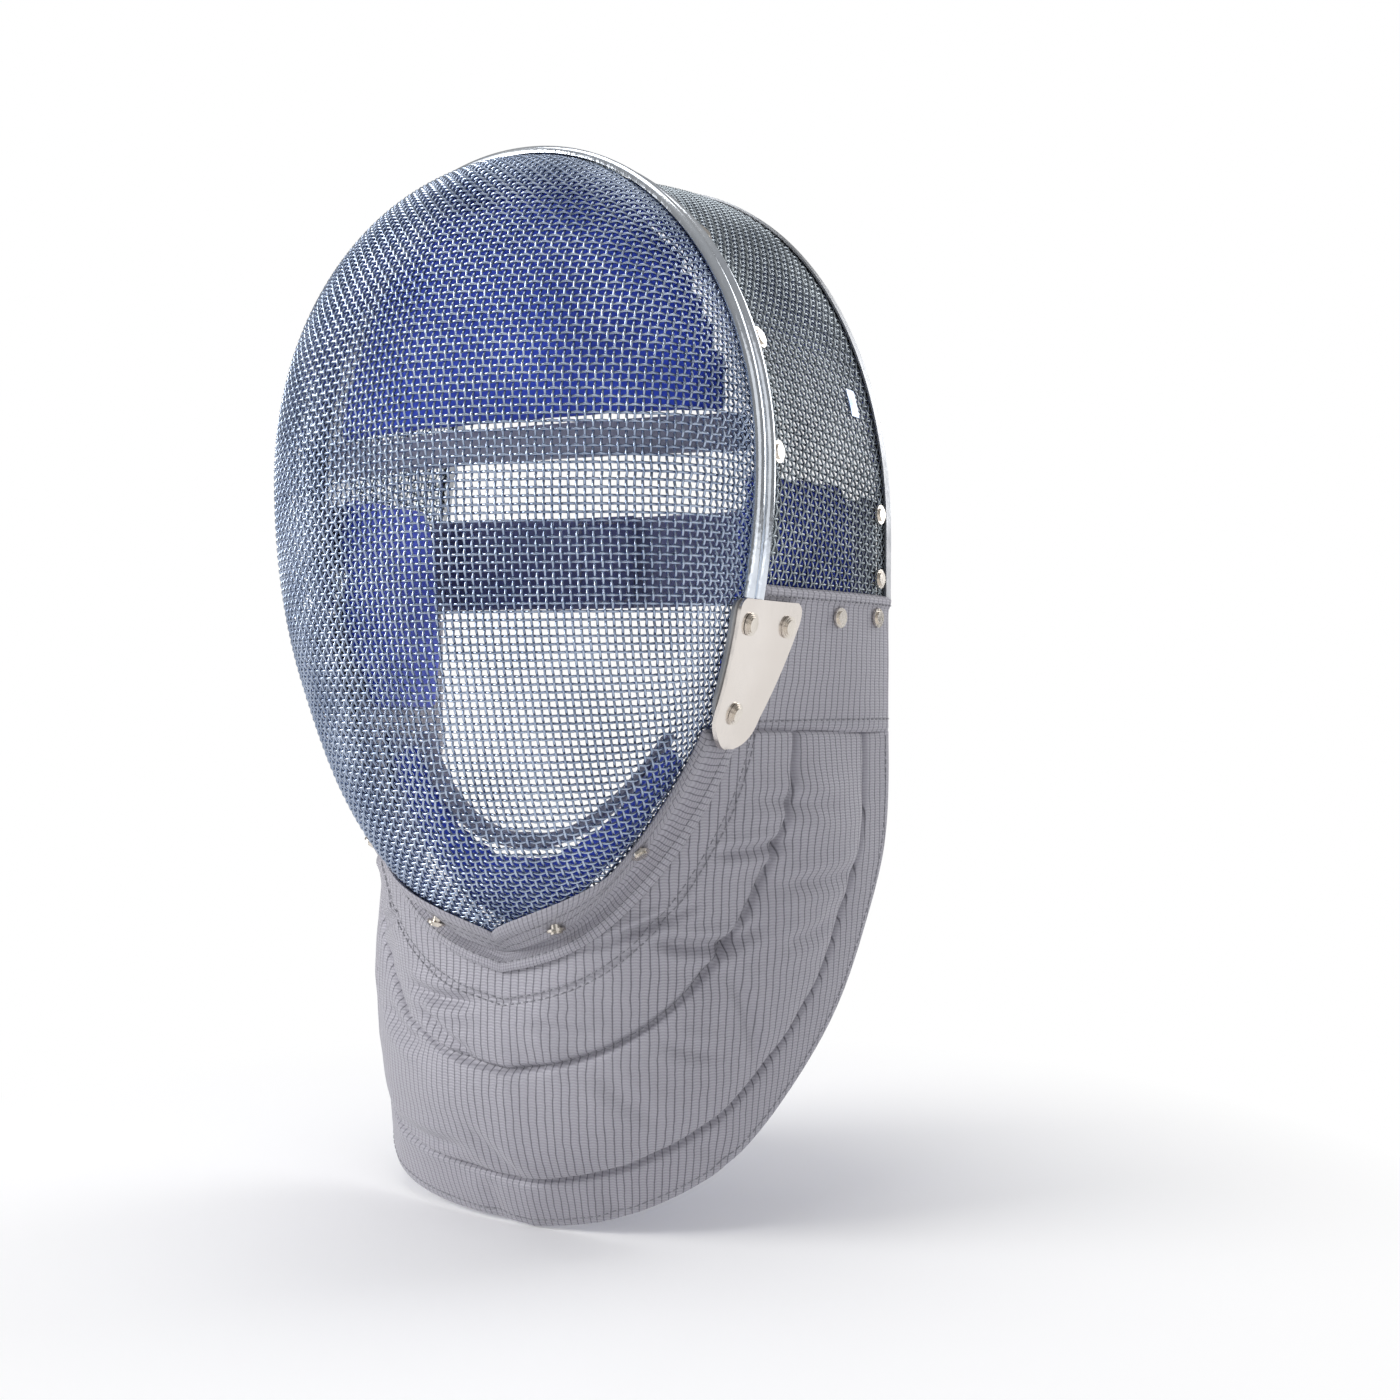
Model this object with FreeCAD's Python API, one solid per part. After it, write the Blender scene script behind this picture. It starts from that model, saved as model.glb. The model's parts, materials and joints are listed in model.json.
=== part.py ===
import FreeCAD, Part
import math
import os

# Sabre mask. Millimetres, +Z up, -Y towards the opponent, +X the wearer's left.
# The origin is on the symmetry plane at eye level, at the middle of the head.

# ---- driving dimensions ----
visor_half_width = 101.3      # rim half width at its widest level
visor_wide_z = 16.0           # level of that widest point
visor_top_z = 138.0           # crown of the rim
visor_chin_z = -163.0         # chin point of the rim
visor_depth = 78.0            # crease in front of the rim plane
rim_y = -49.5                 # plane of the rim
chin_forward = 13.0           # how far the chin point of the rim leans forward
mesh_t = 2.0                  # crossed 1 mm wires are two wires thick
rear_half_width = 110.5       # rear arch
rear_top_z = 150.0
rear_y = 52.0
side_low_z = -30.0            # lower edge of the side mesh
rim_bead_r = 3.0
rim_bead_gap = 8.0            # distance between the two bead centres
rim_low_z = -33.0             # where the beaded strip ends under the side plates
band_w = 17.0                 # inner steel band behind the rim
band_t = 1.2
plate_top_z = -34.0
plate_low_z = -88.0
plate_w = 45.0
plate_front_y = -65.0         # the plates reach over the front mesh
plate_foot_r = 11.0
plate_t = 1.6
rivet_head_r = 4.2
rivet_head_h = 1.8
rivet_shank_r = 1.9
pad_t = 9.0
binding_w = 11.0              # reach of the jaw tape over the front mesh
ear_low_z = -80.6             # seam between the ear panels and the bib
bib_t = 7.0
bib_front_low_z = -276.0
bib_rear_low_z = -112.0
bib_half_width = 88.0
bib_sag = 20.0                # the wearer's right corner of the bib hangs lower
bib_flare = 18.0              # and stands further out
strap_h = 41.0
strap_t = 2.6
strap_z = -8.0
strap_split_x = -60.0         # free end of the closing strap
tab_end_x = -14.0             # inner end of the fixed tab under the strap
clear = 0.4
strap_pivot_x = rear_half_width - mesh_t - 1.6 - 1.5 * strap_t - 0.3   # fold line beside the riveted end
strap_pivot_y = 50.6
strap_bow = 12.0

V = FreeCAD.Vector


# ---- helpers ----
def mix(a, b, t):
    return a + (b - a) * t


def smooth(t):
    t = min(1.0, max(0.0, t))
    return t * t * (3.0 - 2.0 * t)


def face_through(point, nu, nv):
    rows = []
    for i in range(nu):
        row = []
        for j in range(nv):
            row.append(point(i / (nu - 1.0), j / (nv - 1.0)))
        rows.append(row)
    surface = Part.BSplineSurface()
    surface.interpolate(rows)
    return surface


def patch(outer, inner, nu, nv):
    """Solid between two point functions of (u, v), both over the unit square."""
    a = face_through(outer, nu, nv)
    b = face_through(inner, nu, nv)
    faces = [a.toShape(), b.toShape()]
    u0, u1, v0, v1 = a.bounds()
    s0, s1, t0, t1 = b.bounds()
    for p, q in ((u0, s0), (u1, s1)):
        faces.append(Part.makeRuledSurface(a.uIso(p).toShape(), b.uIso(q).toShape()))
    for p, q in ((v0, t0), (v1, t1)):
        faces.append(Part.makeRuledSurface(a.vIso(p).toShape(), b.vIso(q).toShape()))
    shell = Part.Shell(faces)
    shell.sewShape()
    shell = shell.Shells[0]
    solid = Part.Solid(shell)
    if solid.Volume < 0:
        solid.reverse()
    return solid


def pushed(point, distance):
    """The same surface moved along its normal."""
    step = 0.002

    def moved(u, v):
        ua = max(0.0, u - step)
        ub = min(1.0, u + step)
        va = max(0.0, v - step)
        vb = min(1.0, v + step)
        n = (point(ub, v) - point(ua, v)).cross(point(u, vb) - point(u, va))
        n.normalize()
        return point(u, v) + n * distance
    return moved


def thick(point, low, high, nu, nv):
    """Solid between two normal offsets of one surface."""
    return patch(pushed(point, low), pushed(point, high), nu, nv)


def curve(points):
    c = Part.BSplineCurve()
    c.interpolate(points)
    return c


def at(c, t):
    """Point of a curve at a share t of its length."""
    return c.value(c.parameterAtDistance(c.length() * min(1.0, max(0.0, t)), c.FirstParameter))


def both_sides(shape):
    return shape, shape.mirror(V(0, 0, 0), V(1, 0, 0))


def join(shapes):
    out = shapes[0]
    for s in shapes[1:]:
        out = out.fuse(s)
    return out


def rivet(pos, direction, head_r, shank_l, steps):
    """Flat round head with a low stepped dome, and a shank behind it."""
    body = Part.makeCylinder(head_r, rivet_head_h * 0.55, pos, direction)
    for i in range(steps):
        share = (i + 1.0) / steps
        body = body.fuse(Part.makeCylinder(head_r * (1.0 - 0.32 * share), rivet_head_h * (0.55 + 0.45 * share),
                                           pos, direction))
    shank = Part.makeCylinder(rivet_shank_r, shank_l, pos, direction * -1.0)
    return body.fuse(shank).removeSplitter()


def save(name, shape):
    if shape.ShapeType == "Compound" and len(shape.Solids) == 1:
        shape = shape.Solids[0]
    assert shape.isValid(), name
    shape.exportStep("parts/" + name + ".step")
    print(name, round(shape.Volume, 1), len(shape.Solids), len(shape.Faces))


# ---- outlines ----
def rim_half(phi, grow=0.0):
    """Half outline of the rim: phi -90 deg at the chin, 0 at the widest level, 90 deg at the crown."""
    s = math.sin(phi)
    c = max(0.0, math.cos(phi))
    if s >= 0:
        x = (visor_half_width + grow) * c ** 0.98
        z = visor_wide_z + (visor_top_z + grow - visor_wide_z) * s
        y = rim_y
    else:
        x = (visor_half_width + grow) * (1.0 - abs(s) ** 1.98) ** 0.586
        z = visor_wide_z + (visor_wide_z - visor_chin_z + grow) * s
        y = rim_y - chin_forward * smooth((abs(s) - 0.45) / 0.55)
    return V(x, y, z)


def rim_level(z):
    """Angle phi of the rim at one height."""
    if z >= visor_wide_z:
        return math.asin((z - visor_wide_z) / (visor_top_z - visor_wide_z))
    return -math.asin((visor_wide_z - z) / (visor_wide_z - visor_chin_z))


def visor(phi, th, inset):
    """Front mesh surface: th 0 on the crease, 1 on the rim."""
    rim = rim_half(phi, -inset)
    s = math.sin(phi)
    if s >= 0:
        depth = (visor_depth - inset) * max(0.0, math.cos(phi)) ** 0.98
    else:
        depth = (visor_depth - inset) * (1.0 - abs(s) ** 3.1) ** 0.96
    a = th * math.pi / 2.0
    x = (math.sin(a) ** 2) ** (1.0 / 1.30)
    g = max(0.0, math.cos(a)) ** (2.0 / 2.9)
    return V(rim.x * x, rim.y - depth * g, rim.z)


def arch_angle(side):
    """Arch angle for side in -1..1; 90 deg is the crown, the ends are at the side mesh's lower edge."""
    return math.pi / 2.0 - side * math.pi / 2.0


def rear_half(psi):
    s = math.sin(psi)
    if s >= 0:
        return V(rear_half_width * max(0.0, math.cos(psi)) ** 0.96, rear_y, rear_top_z * s)
    return V(rear_half_width, rear_y, rear_top_z * s)


def side_wall(side, y, grow=0.0):
    """Side mesh surface: side -1..1 over the crown, y from the rim plane to the rear arch."""
    share = abs(side)
    top = math.pi / 2.0
    rim_end = rim_level(side_low_z)
    rear_end = math.asin(side_low_z / rear_top_z)
    a = rim_half(mix(top, rim_end, share), grow)
    b = rear_half(mix(top, rear_end, share))
    k = smooth((y - rim_y) / (rear_y - rim_y))
    out = V(math.cos(mix(top, rear_end, share)), 0, math.sin(mix(top, rear_end, share)))
    p = V(mix(a.x, b.x, k), y, mix(a.z, b.z, k)) + out * (grow * k)
    if side < 0:
        p.x = -p.x
    return p


def flank(z, y, grow=0.0):
    """Half width of the shell at one height and depth, below the side mesh."""
    k = smooth((y - rim_y) / (rear_y - rim_y))
    return mix(rim_half(rim_level(z)).x, rear_half_width, k) + grow


# ---- front mesh ----
phi_lo = math.radians(-86.5)
phi_hi = math.radians(86.5)


def visor_fn(inset):
    return lambda u, v: visor(mix(phi_lo, phi_hi, u), v, inset)


half = patch(visor_fn(0.0), visor_fn(mesh_t), 33, 17)
mirrored = half.mirror(V(0, 0, 0), V(1, 0, 0))
save_list = []
save_list.append(("front_mesh", half.fuse(mirrored)))

# ---- side mesh ----


def side_fn(grow, ya, yb):
    return lambda u, v: side_wall(2.0 * u - 1.0, mix(ya, yb, v), grow)


side_mesh = patch(side_fn(0.0, rim_y + 0.1, rear_y), side_fn(-mesh_t, rim_y + 0.1, rear_y), 41, 9)
save_list.append(("side_mesh", side_mesh))

# ---- front rim: strip with two beads and a groove between, over the mesh edges ----


def strip_path(grow, y, low_z, half_fn):
    lo = rim_level(low_z)
    pts = []
    count = 31
    for i in range(count):
        share = 2.0 * i / (count - 1.0) - 1.0
        p = half_fn(mix(math.pi / 2.0, lo, abs(share)), grow)
        pts.append(V(p.x if share > 0 else -p.x, y, p.z))
    return pts


def sweep(points, profile_at):
    """Pipe with a fixed section along a flat path in an XZ plane."""
    path = Part.Wire([curve(points).toShape()])
    start = points[0]
    ahead = points[1] - points[0]
    ahead.normalize()
    out = V(0, 1, 0).cross(ahead)
    out.normalize()
    if out.x * start.x < 0:
        out = out * -1.0
    section = profile_at(start, out)
    pipe = Part.BRepOffsetAPI.MakePipeShell(path)
    pipe.setBiNormalMode(V(0, 1, 0))
    pipe.add(section)
    pipe.build()
    pipe.makeSolid()
    solid = pipe.shape()
    if solid.ShapeType != "Solid":
        solid = solid.Solids[0]
    if solid.Volume < 0:
        solid.reverse()
    return solid


def beaded(start, out):
    r = rim_bead_r
    h = rim_bead_gap / 2.0
    web = 0.9

    def p(y, n):
        return start + V(0, y, 0) + out * n
    edges = []
    edges.append(Part.makeLine(p(-h - r, 0.0), p(h + r, 0.0)))
    edges.append(Part.Arc(p(h + r, 0.0), p(h, 1.05 * r), p(h - r * 0.8, web)).toShape())
    edges.append(Part.makeLine(p(h - r * 0.8, web), p(-h + r * 0.8, web)))
    edges.append(Part.Arc(p(-h + r * 0.8, web), p(-h, 1.05 * r), p(-h - r, 0.0)).toShape())
    return Part.Wire(edges)


save_list.append(("rim_strip", sweep(strip_path(0.3, rim_y - 1.0, rim_low_z, rim_half), beaded)))


def band_fn(grow, ya, yb):
    lo = -0.96
    return lambda u, v: side_wall(mix(lo, -lo, u), mix(ya, yb, v), grow)


save_list.append(("inner_rim_band", patch(band_fn(-mesh_t - 0.3, rim_y + 1.0, rim_y + 1.0 + band_w),
                                          band_fn(-mesh_t - 0.3 - band_t, rim_y + 1.0, rim_y + 1.0 + band_w), 41, 4)))

# ---- rear rim: folded steel channel over the side mesh's rear edge ----


def rear_points():
    pts = []
    count = 31
    end = math.asin(side_low_z / rear_top_z)
    for i in range(count):
        share = 2.0 * i / (count - 1.0) - 1.0
        p = rear_half(mix(math.pi / 2.0, end, abs(share)))
        pts.append(V(p.x if share > 0 else -p.x, rear_y, p.z))
    return pts


def channel(start, out):
    def p(y, n):
        return start + V(0, y, 0) + out * n
    outer = 1.1
    inner = -mesh_t - 1.1
    pts = [p(-4.0, outer), p(1.2, outer), p(1.2, inner), p(-4.0, inner), p(-4.0, inner + 0.8),
           p(0.05, inner + 0.8), p(0.05, outer - 0.8), p(-4.0, outer - 0.8), p(-4.0, outer)]
    return Part.makePolygon(pts)


save_list.append(("rear_rim", sweep(rear_points(), channel)))

# ---- side plates ----


def cover(z, y):
    """Half width of the shell at one level: the flank behind the rim, the front mesh ahead of it."""
    phi = rim_level(z)
    rim = rim_half(phi)
    if y >= rim.y:
        return flank(z, y)
    ahead = min(0.95, (rim.y - y) / (rim.y - visor(phi, 0.0, 0.0).y))
    return rim.x * (1.0 - ahead ** 2.9) ** (1.0 / 1.30)


def plate_fn(grow, wider, low_z):
    """Rounded plate: wide along the top, a broad round lobe at the foot."""
    def point(u, v):
        z = mix(plate_top_z, low_z, 0.5 - 0.5 * math.cos(math.pi * v))
        down = (plate_top_z - z) / (plate_top_z - plate_low_z)
        front = mix(plate_front_y - wider, plate_front_y - wider + 4.5, down)
        back = mix(plate_front_y + plate_w, plate_front_y + plate_w - 14.5, max(0.0, (down - 0.12) / 0.88))
        over_foot = max(0.0, plate_foot_r - (z - low_z))
        under_top = max(0.0, 4.0 - (plate_top_z - z))
        inset = plate_foot_r - math.sqrt(plate_foot_r ** 2 - min(over_foot, plate_foot_r * 0.99) ** 2)
        inset = inset + 4.0 - math.sqrt(16.0 - min(under_top, 3.9) ** 2)
        y = mix(front + inset, back - inset, u)
        lifted = 2.2 * smooth((plate_low_z + 12.0 - z) / 12.0)     # the foot lies over the top of the bib
        return V(cover(z, y) + grow + lifted, y, z)
    return point


plate_out = 3.4
left = patch(plate_fn(plate_out + plate_t, 0.0, plate_low_z), plate_fn(plate_out, 0.0, plate_low_z), 11, 21)
right = left.mirror(V(0, 0, 0), V(1, 0, 0))
save_list.append(("side_plate_left", left))
save_list.append(("side_plate_right", right))

back_left = patch(plate_fn(plate_out - 0.15, 1.6, plate_low_z + 9.0),
                  plate_fn(plate_out - 1.35, 1.6, plate_low_z + 9.0), 11, 21)
save_list.append(("backing_plate_left", back_left))
save_list.append(("backing_plate_right", back_left.mirror(V(0, 0, 0), V(1, 0, 0))))


def plate_rivets():
    out = []
    for y, z in ((-56.5, -43.0), (-28.0, -43.0), (-49.5, -75.0)):
        x = cover(z, y)
        dx_dz = (cover(z + 1.0, y) - cover(z - 1.0, y)) / 2.0
        dx_dy = (cover(z, y + 1.0) - cover(z, y - 1.0)) / 2.0
        n = V(1.0, -dx_dy, -dx_dz)
        n.normalize()
        base = V(x + plate_out + plate_t + 0.12, y, z)
        out.append(rivet(base, n, rivet_head_r, 3.2, 2))
    return Part.makeCompound(out)


rivets_left = plate_rivets()
save_list.append(("side_plate_rivets_left", rivets_left))
save_list.append(("side_plate_rivets_right", rivets_left.mirror(V(0, 0, 0), V(1, 0, 0))))


# ---- bib ----
def bib_curves():
    top = []
    end = rim_level(ear_low_z - 0.9)
    for share in (0.0, 0.31, 0.57, 0.78, 0.91, 1.0):
        p = rim_half(mix(-math.pi / 2.0, end, share))
        top.append(V(p.x, p.y + 0.9, p.z))
    low = [V(0, -42, bib_front_low_z)]
    w = bib_half_width
    low.append(V(0.30 * w, -38, bib_front_low_z + 4))
    low.append(V(0.58 * w, -29, bib_front_low_z + 13))
    low.append(V(0.80 * w, -16, bib_front_low_z + 26))
    low.append(V(0.97 * w, 8, bib_front_low_z + 50))
    low.append(V(1.12 * w, 30, bib_front_low_z + 84))
    low.append(V(1.20 * w, 43, bib_front_low_z + 117))
    low.append(V(rear_half_width, 50, bib_rear_low_z - 18))
    low.append(V(rear_half_width + 1.0, rear_y, bib_rear_low_z))
    low.append(V(rear_half_width + 1.2, rear_y, ear_low_z - 0.9))
    return curve(top), curve(low)


bib_top, bib_low = bib_curves()


def bib_base(u, v):
    """u 0..1 from the wearer's right rear edge over the front to the left; v 0 at the jaw, 1 at the free edge."""
    side = 2.0 * u - 1.0
    a = at(bib_top, abs(side))
    b = at(bib_low, abs(side))
    p = a + (b - a) * v
    out = V(p.x, p.y - 25.0, 0)
    out.normalize()
    swell = 9.0 * math.sin(math.pi * v) * (1.0 - 0.25 * abs(side) - 0.6 * side ** 4)
    p = p + out * swell
    if side < 0:
        p.z = p.z - bib_sag * v * v * math.sin(math.pi * min(1.0, abs(side) / 0.8)) ** 2
        p.x = p.x + bib_flare * v ** 1.5 * math.sin(math.pi * min(1.0, abs(side)))
        p.x = -p.x
    return p


def bib_normal(u, v):
    step = 0.004
    ua = max(0.0, u - step)
    ub = min(1.0, u + step)
    va = max(0.0, v - step)
    vb = min(1.0, v + step)
    n = (bib_base(u, vb) - bib_base(u, va)).cross(bib_base(ub, v) - bib_base(ua, v))
    n.normalize()
    return n


def swell_share(v):
    return math.sin(math.pi * v) ** 0.6 if 0.0 < v < 1.0 else 0.0


def bib_zone(va, vb, low, high, puff):
    """Bib piece between two shares of its height; puff swells its outer face between the seams."""

    def moved(amount):
        def point(u, v):
            vv = mix(va, vb, v)
            return bib_base(u, vv) + bib_normal(u, vv) * amount(u, v)
        return point

    def outer(u, v):
        side = abs(2.0 * u - 1.0)
        return high + puff * swell_share(v) * (1.0 - 0.7 * smooth((side - 0.8) / 0.2))

    def inner(u, v):
        return low
    return patch(moved(outer), moved(inner), 41, 9)


seam_a = 0.42                 # share of the bib's height at the upper quilting seam
seam_b = 0.82
upper_puff = 2.5
save_list.append(("bib_upper", bib_zone(0.0, seam_a - 0.003, -bib_t, 0.0, upper_puff)))
save_list.append(("bib_roll", bib_zone(seam_a, seam_b - 0.003, -bib_t + 1.0, 0.0, 4.5)))
save_list.append(("bib_hem", bib_zone(seam_b, 1.0, -4.0, 0.0, 0.6)))
save_list.append(("bib_lining", bib_zone(0.15, seam_b - 0.02, -bib_t - 2.2, -bib_t - 0.9, 0.0)))

# ---- flat fabric panels over the ears ----


def ear_fn(grow):
    def point(u, v):
        z = mix(side_low_z - 0.3, ear_low_z, v)
        y = mix(rim_y + 6.4, rear_y - 0.2, u)
        return V(flank(z, y) + grow, y, z)
    return point


ear = patch(ear_fn(1.5), ear_fn(-1.5), 11, 7)
save_list.append(("ear_panel_left", ear))
save_list.append(("ear_panel_right", ear.mirror(V(0, 0, 0), V(1, 0, 0))))

# ---- binding tape over the mesh's jaw edge and the top of the bib ----
jaw_end = rim_level(plate_low_z + 8.0)
crease_reach = math.radians(-74.0)


def jaw_point(u, v, grow):
    side = 2.0 * u - 1.0
    w = abs(side)
    phi_r = mix(-math.pi / 2.0, jaw_end, w)
    fold = 0.62
    if v <= fold:
        k = v / fold
        phi_a = mix(crease_reach, jaw_end, w)
        x_r = rim_half(phi_r).x
        x_a = rim_half(phi_a).x
        reach = visor(phi_a, 0.0, 0.0)
        near = min(0.9, binding_w / max(1.0, rim_half(phi_a).y - reach.y))
        by_width = (1.0 - near ** 2.9) ** (1.0 / 1.30)
        ratio_a = mix(0.90 * x_r / x_a, by_width, smooth(w / 0.45))
        phi = mix(phi_a, phi_r, k)
        x_here = max(0.001, rim_half(phi).x)
        ratio = min(1.0, mix(ratio_a * x_a, x_r, k) / x_here)
        th = math.asin(ratio ** 0.65) * 2.0 / math.pi
        if w < 1.0e-6:
            th = 0.0
        p = visor(phi, th, -grow)
        if w < 1.0e-6:
            p.x = 0.0
    else:
        k = (v - fold) / (1.0 - fold)
        rim = rim_half(phi_r)
        share = bib_top.length(bib_top.FirstParameter, bib_top.parameter(rim)) / bib_top.length()
        below = 0.09 * k
        out = rim_half(phi_r, 1.0) - rim
        out.y = 0.0
        n = bib_normal(0.5 + share / 2.0, below)
        turn = min(1.0, 1.5 * k)
        n = out * (1.0 - turn) + n * turn
        n.normalize()
        p = bib_base(0.5 + share / 2.0, below)
        p.y = p.y - 0.9 * (1.0 - k)
        p = p + n * (grow + 0.3 * k + upper_puff * swell_share(below / seam_a))
    if side < 0:
        p.x = -p.x
    return p


def jaw_fn(grow):
    return lambda u, v: jaw_point(u, v, grow)


save_list.append(("jaw_binding", patch(jaw_fn(2.7), jaw_fn(0.45), 41, 13)))

# ---- padding inside ----


# wider visors curve in sooner at the brow
brow_gap = (mesh_t + band_t + 3.4) * (visor_half_width / 101.3) ** 2


def forehead_fn(za, zb, back):
    def point(u, v):
        side = 2.0 * u - 1.0
        z = mix(za, zb, v)
        half_w = rim_half(rim_level(max(z, visor_wide_z + 1.0))).x - brow_gap
        x = side * half_w
        y = rim_y - 1.5 - 14.0 * (1.0 - side * side) * (1.0 - 0.35 * v)
        return V(x, y + back, z)
    return point


save_list.append(("forehead_pad", patch(forehead_fn(31.0, 124.0, 0.0), forehead_fn(31.0, 124.0, pad_t), 21, 9)))
save_list.append(("forehead_trim", patch(forehead_fn(22.0, 30.8, -0.8), forehead_fn(22.0, 30.8, pad_t + 0.8), 21, 4)))


def crown_fn(grow):
    reach = 0.62
    ya = rim_y + pad_t - 0.5
    yb = rear_y - 6.5
    return lambda u, v: side_wall(mix(-reach, reach, u), mix(ya, yb, v), grow)


inner_face = -mesh_t - band_t - 0.7
save_list.append(("crown_pad", patch(crown_fn(inner_face), crown_fn(inner_face - pad_t), 33, 9)))


def cheek_fn(grow):
    def point(u, v):
        z = mix(19.0, -78.0, v)
        y = mix(rim_y + 1.5, 34.0, u)
        taper = 1.0 - 0.25 * (2.0 * v - 1.0) ** 4
        y = (y + 10.0) * taper - 10.0
        return V(flank(z, y) + grow, y, z)
    return point


cheek = patch(cheek_fn(inner_face), cheek_fn(inner_face - pad_t), 9, 11)
save_list.append(("cheek_pad_left", cheek))
save_list.append(("cheek_pad_right", cheek.mirror(V(0, 0, 0), V(1, 0, 0))))


def chin_point(u, v, back):
    side = 2.0 * u - 1.0
    w = abs(side)
    phi = mix(-math.pi / 2.0, rim_level(-90.0), w)
    a = rim_half(phi, -6.6)
    x = a.x * mix(1.0, 0.80, v)
    z = a.z + mix(0.0, mix(29.0, 3.0, w ** 1.5), v)
    y = a.y + 3.2 + 7.0 * v + back
    return V(-x if side < 0 else x, y, z)


def chin_fn(va, vb, back):
    return lambda u, v: chin_point(u, mix(va, vb, v), back)


save_list.append(("chin_pad", patch(chin_fn(0.0, 1.0, 0.0), chin_fn(0.0, 1.0, pad_t - 1.0), 41, 6)))
save_list.append(("chin_trim", patch(chin_fn(1.01, 1.22, -0.8), chin_fn(1.01, 1.22, pad_t - 0.2), 41, 4)))

# ---- rivets through the rim band, rear edge and ear panels ----


def side_normal(side, y):
    step = 0.004
    n = (side_wall(side, y + 1.0) - side_wall(side, y - 1.0)).cross(
        side_wall(side + step, y) - side_wall(side - step, y))
    n.normalize()
    p = side_wall(side, y)
    if n.x * p.x + n.z * p.z < 0:
        n = n * -1.0
    return n


def side_share(z):
    """Share of the side mesh arch at one height of the rim."""
    return (math.pi / 2.0 - rim_level(z)) / (math.pi / 2.0 - rim_level(side_low_z))


def mesh_rivets(places, shank, lift):
    out = []
    for side, y in places:
        n = side_normal(side, y)
        out.append(rivet(side_wall(side, y) + n * lift, n, rivet_head_r, shank, 1))
    return Part.makeCompound(out)


rim_places = [(0.0, -38.0)]
for z in (104.0, 63.0, 21.0):
    rim_places.append((side_share(z), -38.0))
    rim_places.append((-side_share(z), -38.0))
save_list.append(("rim_rivets", mesh_rivets(rim_places, 3.5, 0.1)))


def flank_rivets(places, lift, shank, head):
    out = []
    for y, z in places:
        x = flank(z, y)
        dx_dz = (flank(z + 1.0, y) - flank(z - 1.0, y)) / 2.0
        dx_dy = (flank(z, y + 1.0) - flank(z, y - 1.0)) / 2.0
        n = V(1.0, -dx_dy, -dx_dz)
        n.normalize()
        out.append(rivet(V(x + lift, y, z), n, head, shank, 1))
    return Part.makeCompound(out)


strap_rivet_places = ((42.5, strap_z + 13.0), (42.5, strap_z - 13.0))
strap_rivets = flank_rivets(strap_rivet_places, 0.15, 6.8, 3.9)
save_list.append(("strap_rivets", strap_rivets))
tab_rivets = strap_rivets.mirror(V(0, 0, 0), V(1, 0, 0))
save_list.append(("tab_rivets", tab_rivets))
ear_rivets = flank_rivets(((10.0, -38.0), (38.0, -37.0)), 1.6, 3.0, 3.9)
save_list.append(("ear_rivets_left", ear_rivets))
save_list.append(("ear_rivets_right", ear_rivets.mirror(V(0, 0, 0), V(1, 0, 0))))


def jaw_rivets():
    out = []
    for u in (0.18, 0.36, 0.64, 0.82):
        p = jaw_point(u, 0.40, 2.75)
        q = jaw_point(u, 0.40, 0.0)
        n = p - q
        n.normalize()
        out.append(rivet(p, n, 3.6, 4.2, 1))
    return Part.makeCompound(out)


save_list.append(("jaw_rivets", jaw_rivets()))

# ---- blank tag on the left of the side mesh ----


def tag_fn(grow):
    def point(u, v):
        share = side_share(mix(55.0, 45.5, v))
        return side_wall(share, mix(26.0, 32.5, u), grow)
    return point


save_list.append(("side_tag", patch(tag_fn(0.6), tag_fn(0.08), 4, 4)))

# ---- rear strap: riveted ends, closing strap, fixed tab, hook-and-loop patches ----
def anchor_fn(grow):
    def point(u, v):
        y = mix(36.0, rear_y - 0.6, u)
        z = strap_z + mix(-0.5, 0.5, v) * strap_h
        return V(flank(z, y) + grow, y, z)
    return point


anchor_in = -mesh_t - 1.6
anchor = patch(anchor_fn(anchor_in), anchor_fn(anchor_in - strap_t), 5, 5)
save_list.append(("strap_anchor", anchor))


def strap_line(x, lift):
    """Rear path of the strap: a shallow bow across the rear opening."""
    return strap_pivot_y + strap_bow * (1.0 - (x / strap_pivot_x) ** 2) + lift


def strap_band(xa, xb, lift_at, t):
    def face(extra):
        def point(u, v):
            x = mix(xa, xb, u)
            return V(x, strap_line(x, lift_at(x)) + extra, strap_z + mix(-0.5, 0.5, v) * strap_h)
        return point
    return patch(face(t / 2.0), face(-t / 2.0), 15, 4)


def patch_band(xa, xb, lift, t):
    def face(extra):
        def point(u, v):
            x = mix(xa, xb, u)
            return V(x, strap_line(x, lift) + extra, strap_z + mix(-0.5, 0.5, v) * (strap_h - 6.0))
        return point
    return patch(face(t), face(0.0), 15, 4)


def flat_lift(x):
    return 0.0


loop_t = 1.4
over_lift = strap_t + 2.0 * loop_t + clear + 0.7


def over(x):
    return over_lift * smooth((strap_pivot_x - x) / 80.0)


tab_band = strap_band(-anchor.BoundBox.XMin - 1.6, tab_end_x, flat_lift, strap_t)
save_list.append(("strap_tab", anchor.mirror(V(0, 0, 0), V(1, 0, 0)).fuse(tab_band).removeSplitter()))
save_list.append(("loop_patch", patch_band(-72.0, tab_end_x - 4.0, strap_t / 2.0 + 0.3, loop_t)))
hook_lift = strap_t / 2.0 + 0.3 + loop_t + clear
save_list.append(("hook_patch", patch_band(strap_split_x + 3.0, tab_end_x - 10.0, hook_lift, loop_t)))
closing = strap_band(strap_split_x, strap_pivot_x, over, strap_t)
knuckle = Part.makeCylinder(strap_t / 2.0, strap_h, V(strap_pivot_x, strap_pivot_y, strap_z - strap_h / 2.0))
save_list.append(("rear_strap", closing.fuse(knuckle).removeSplitter()))

# ---- holes for the rivet shanks ----
shapes = {}
order = []
for name, shape in save_list:
    shapes[name] = shape
    order.append(name)


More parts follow.
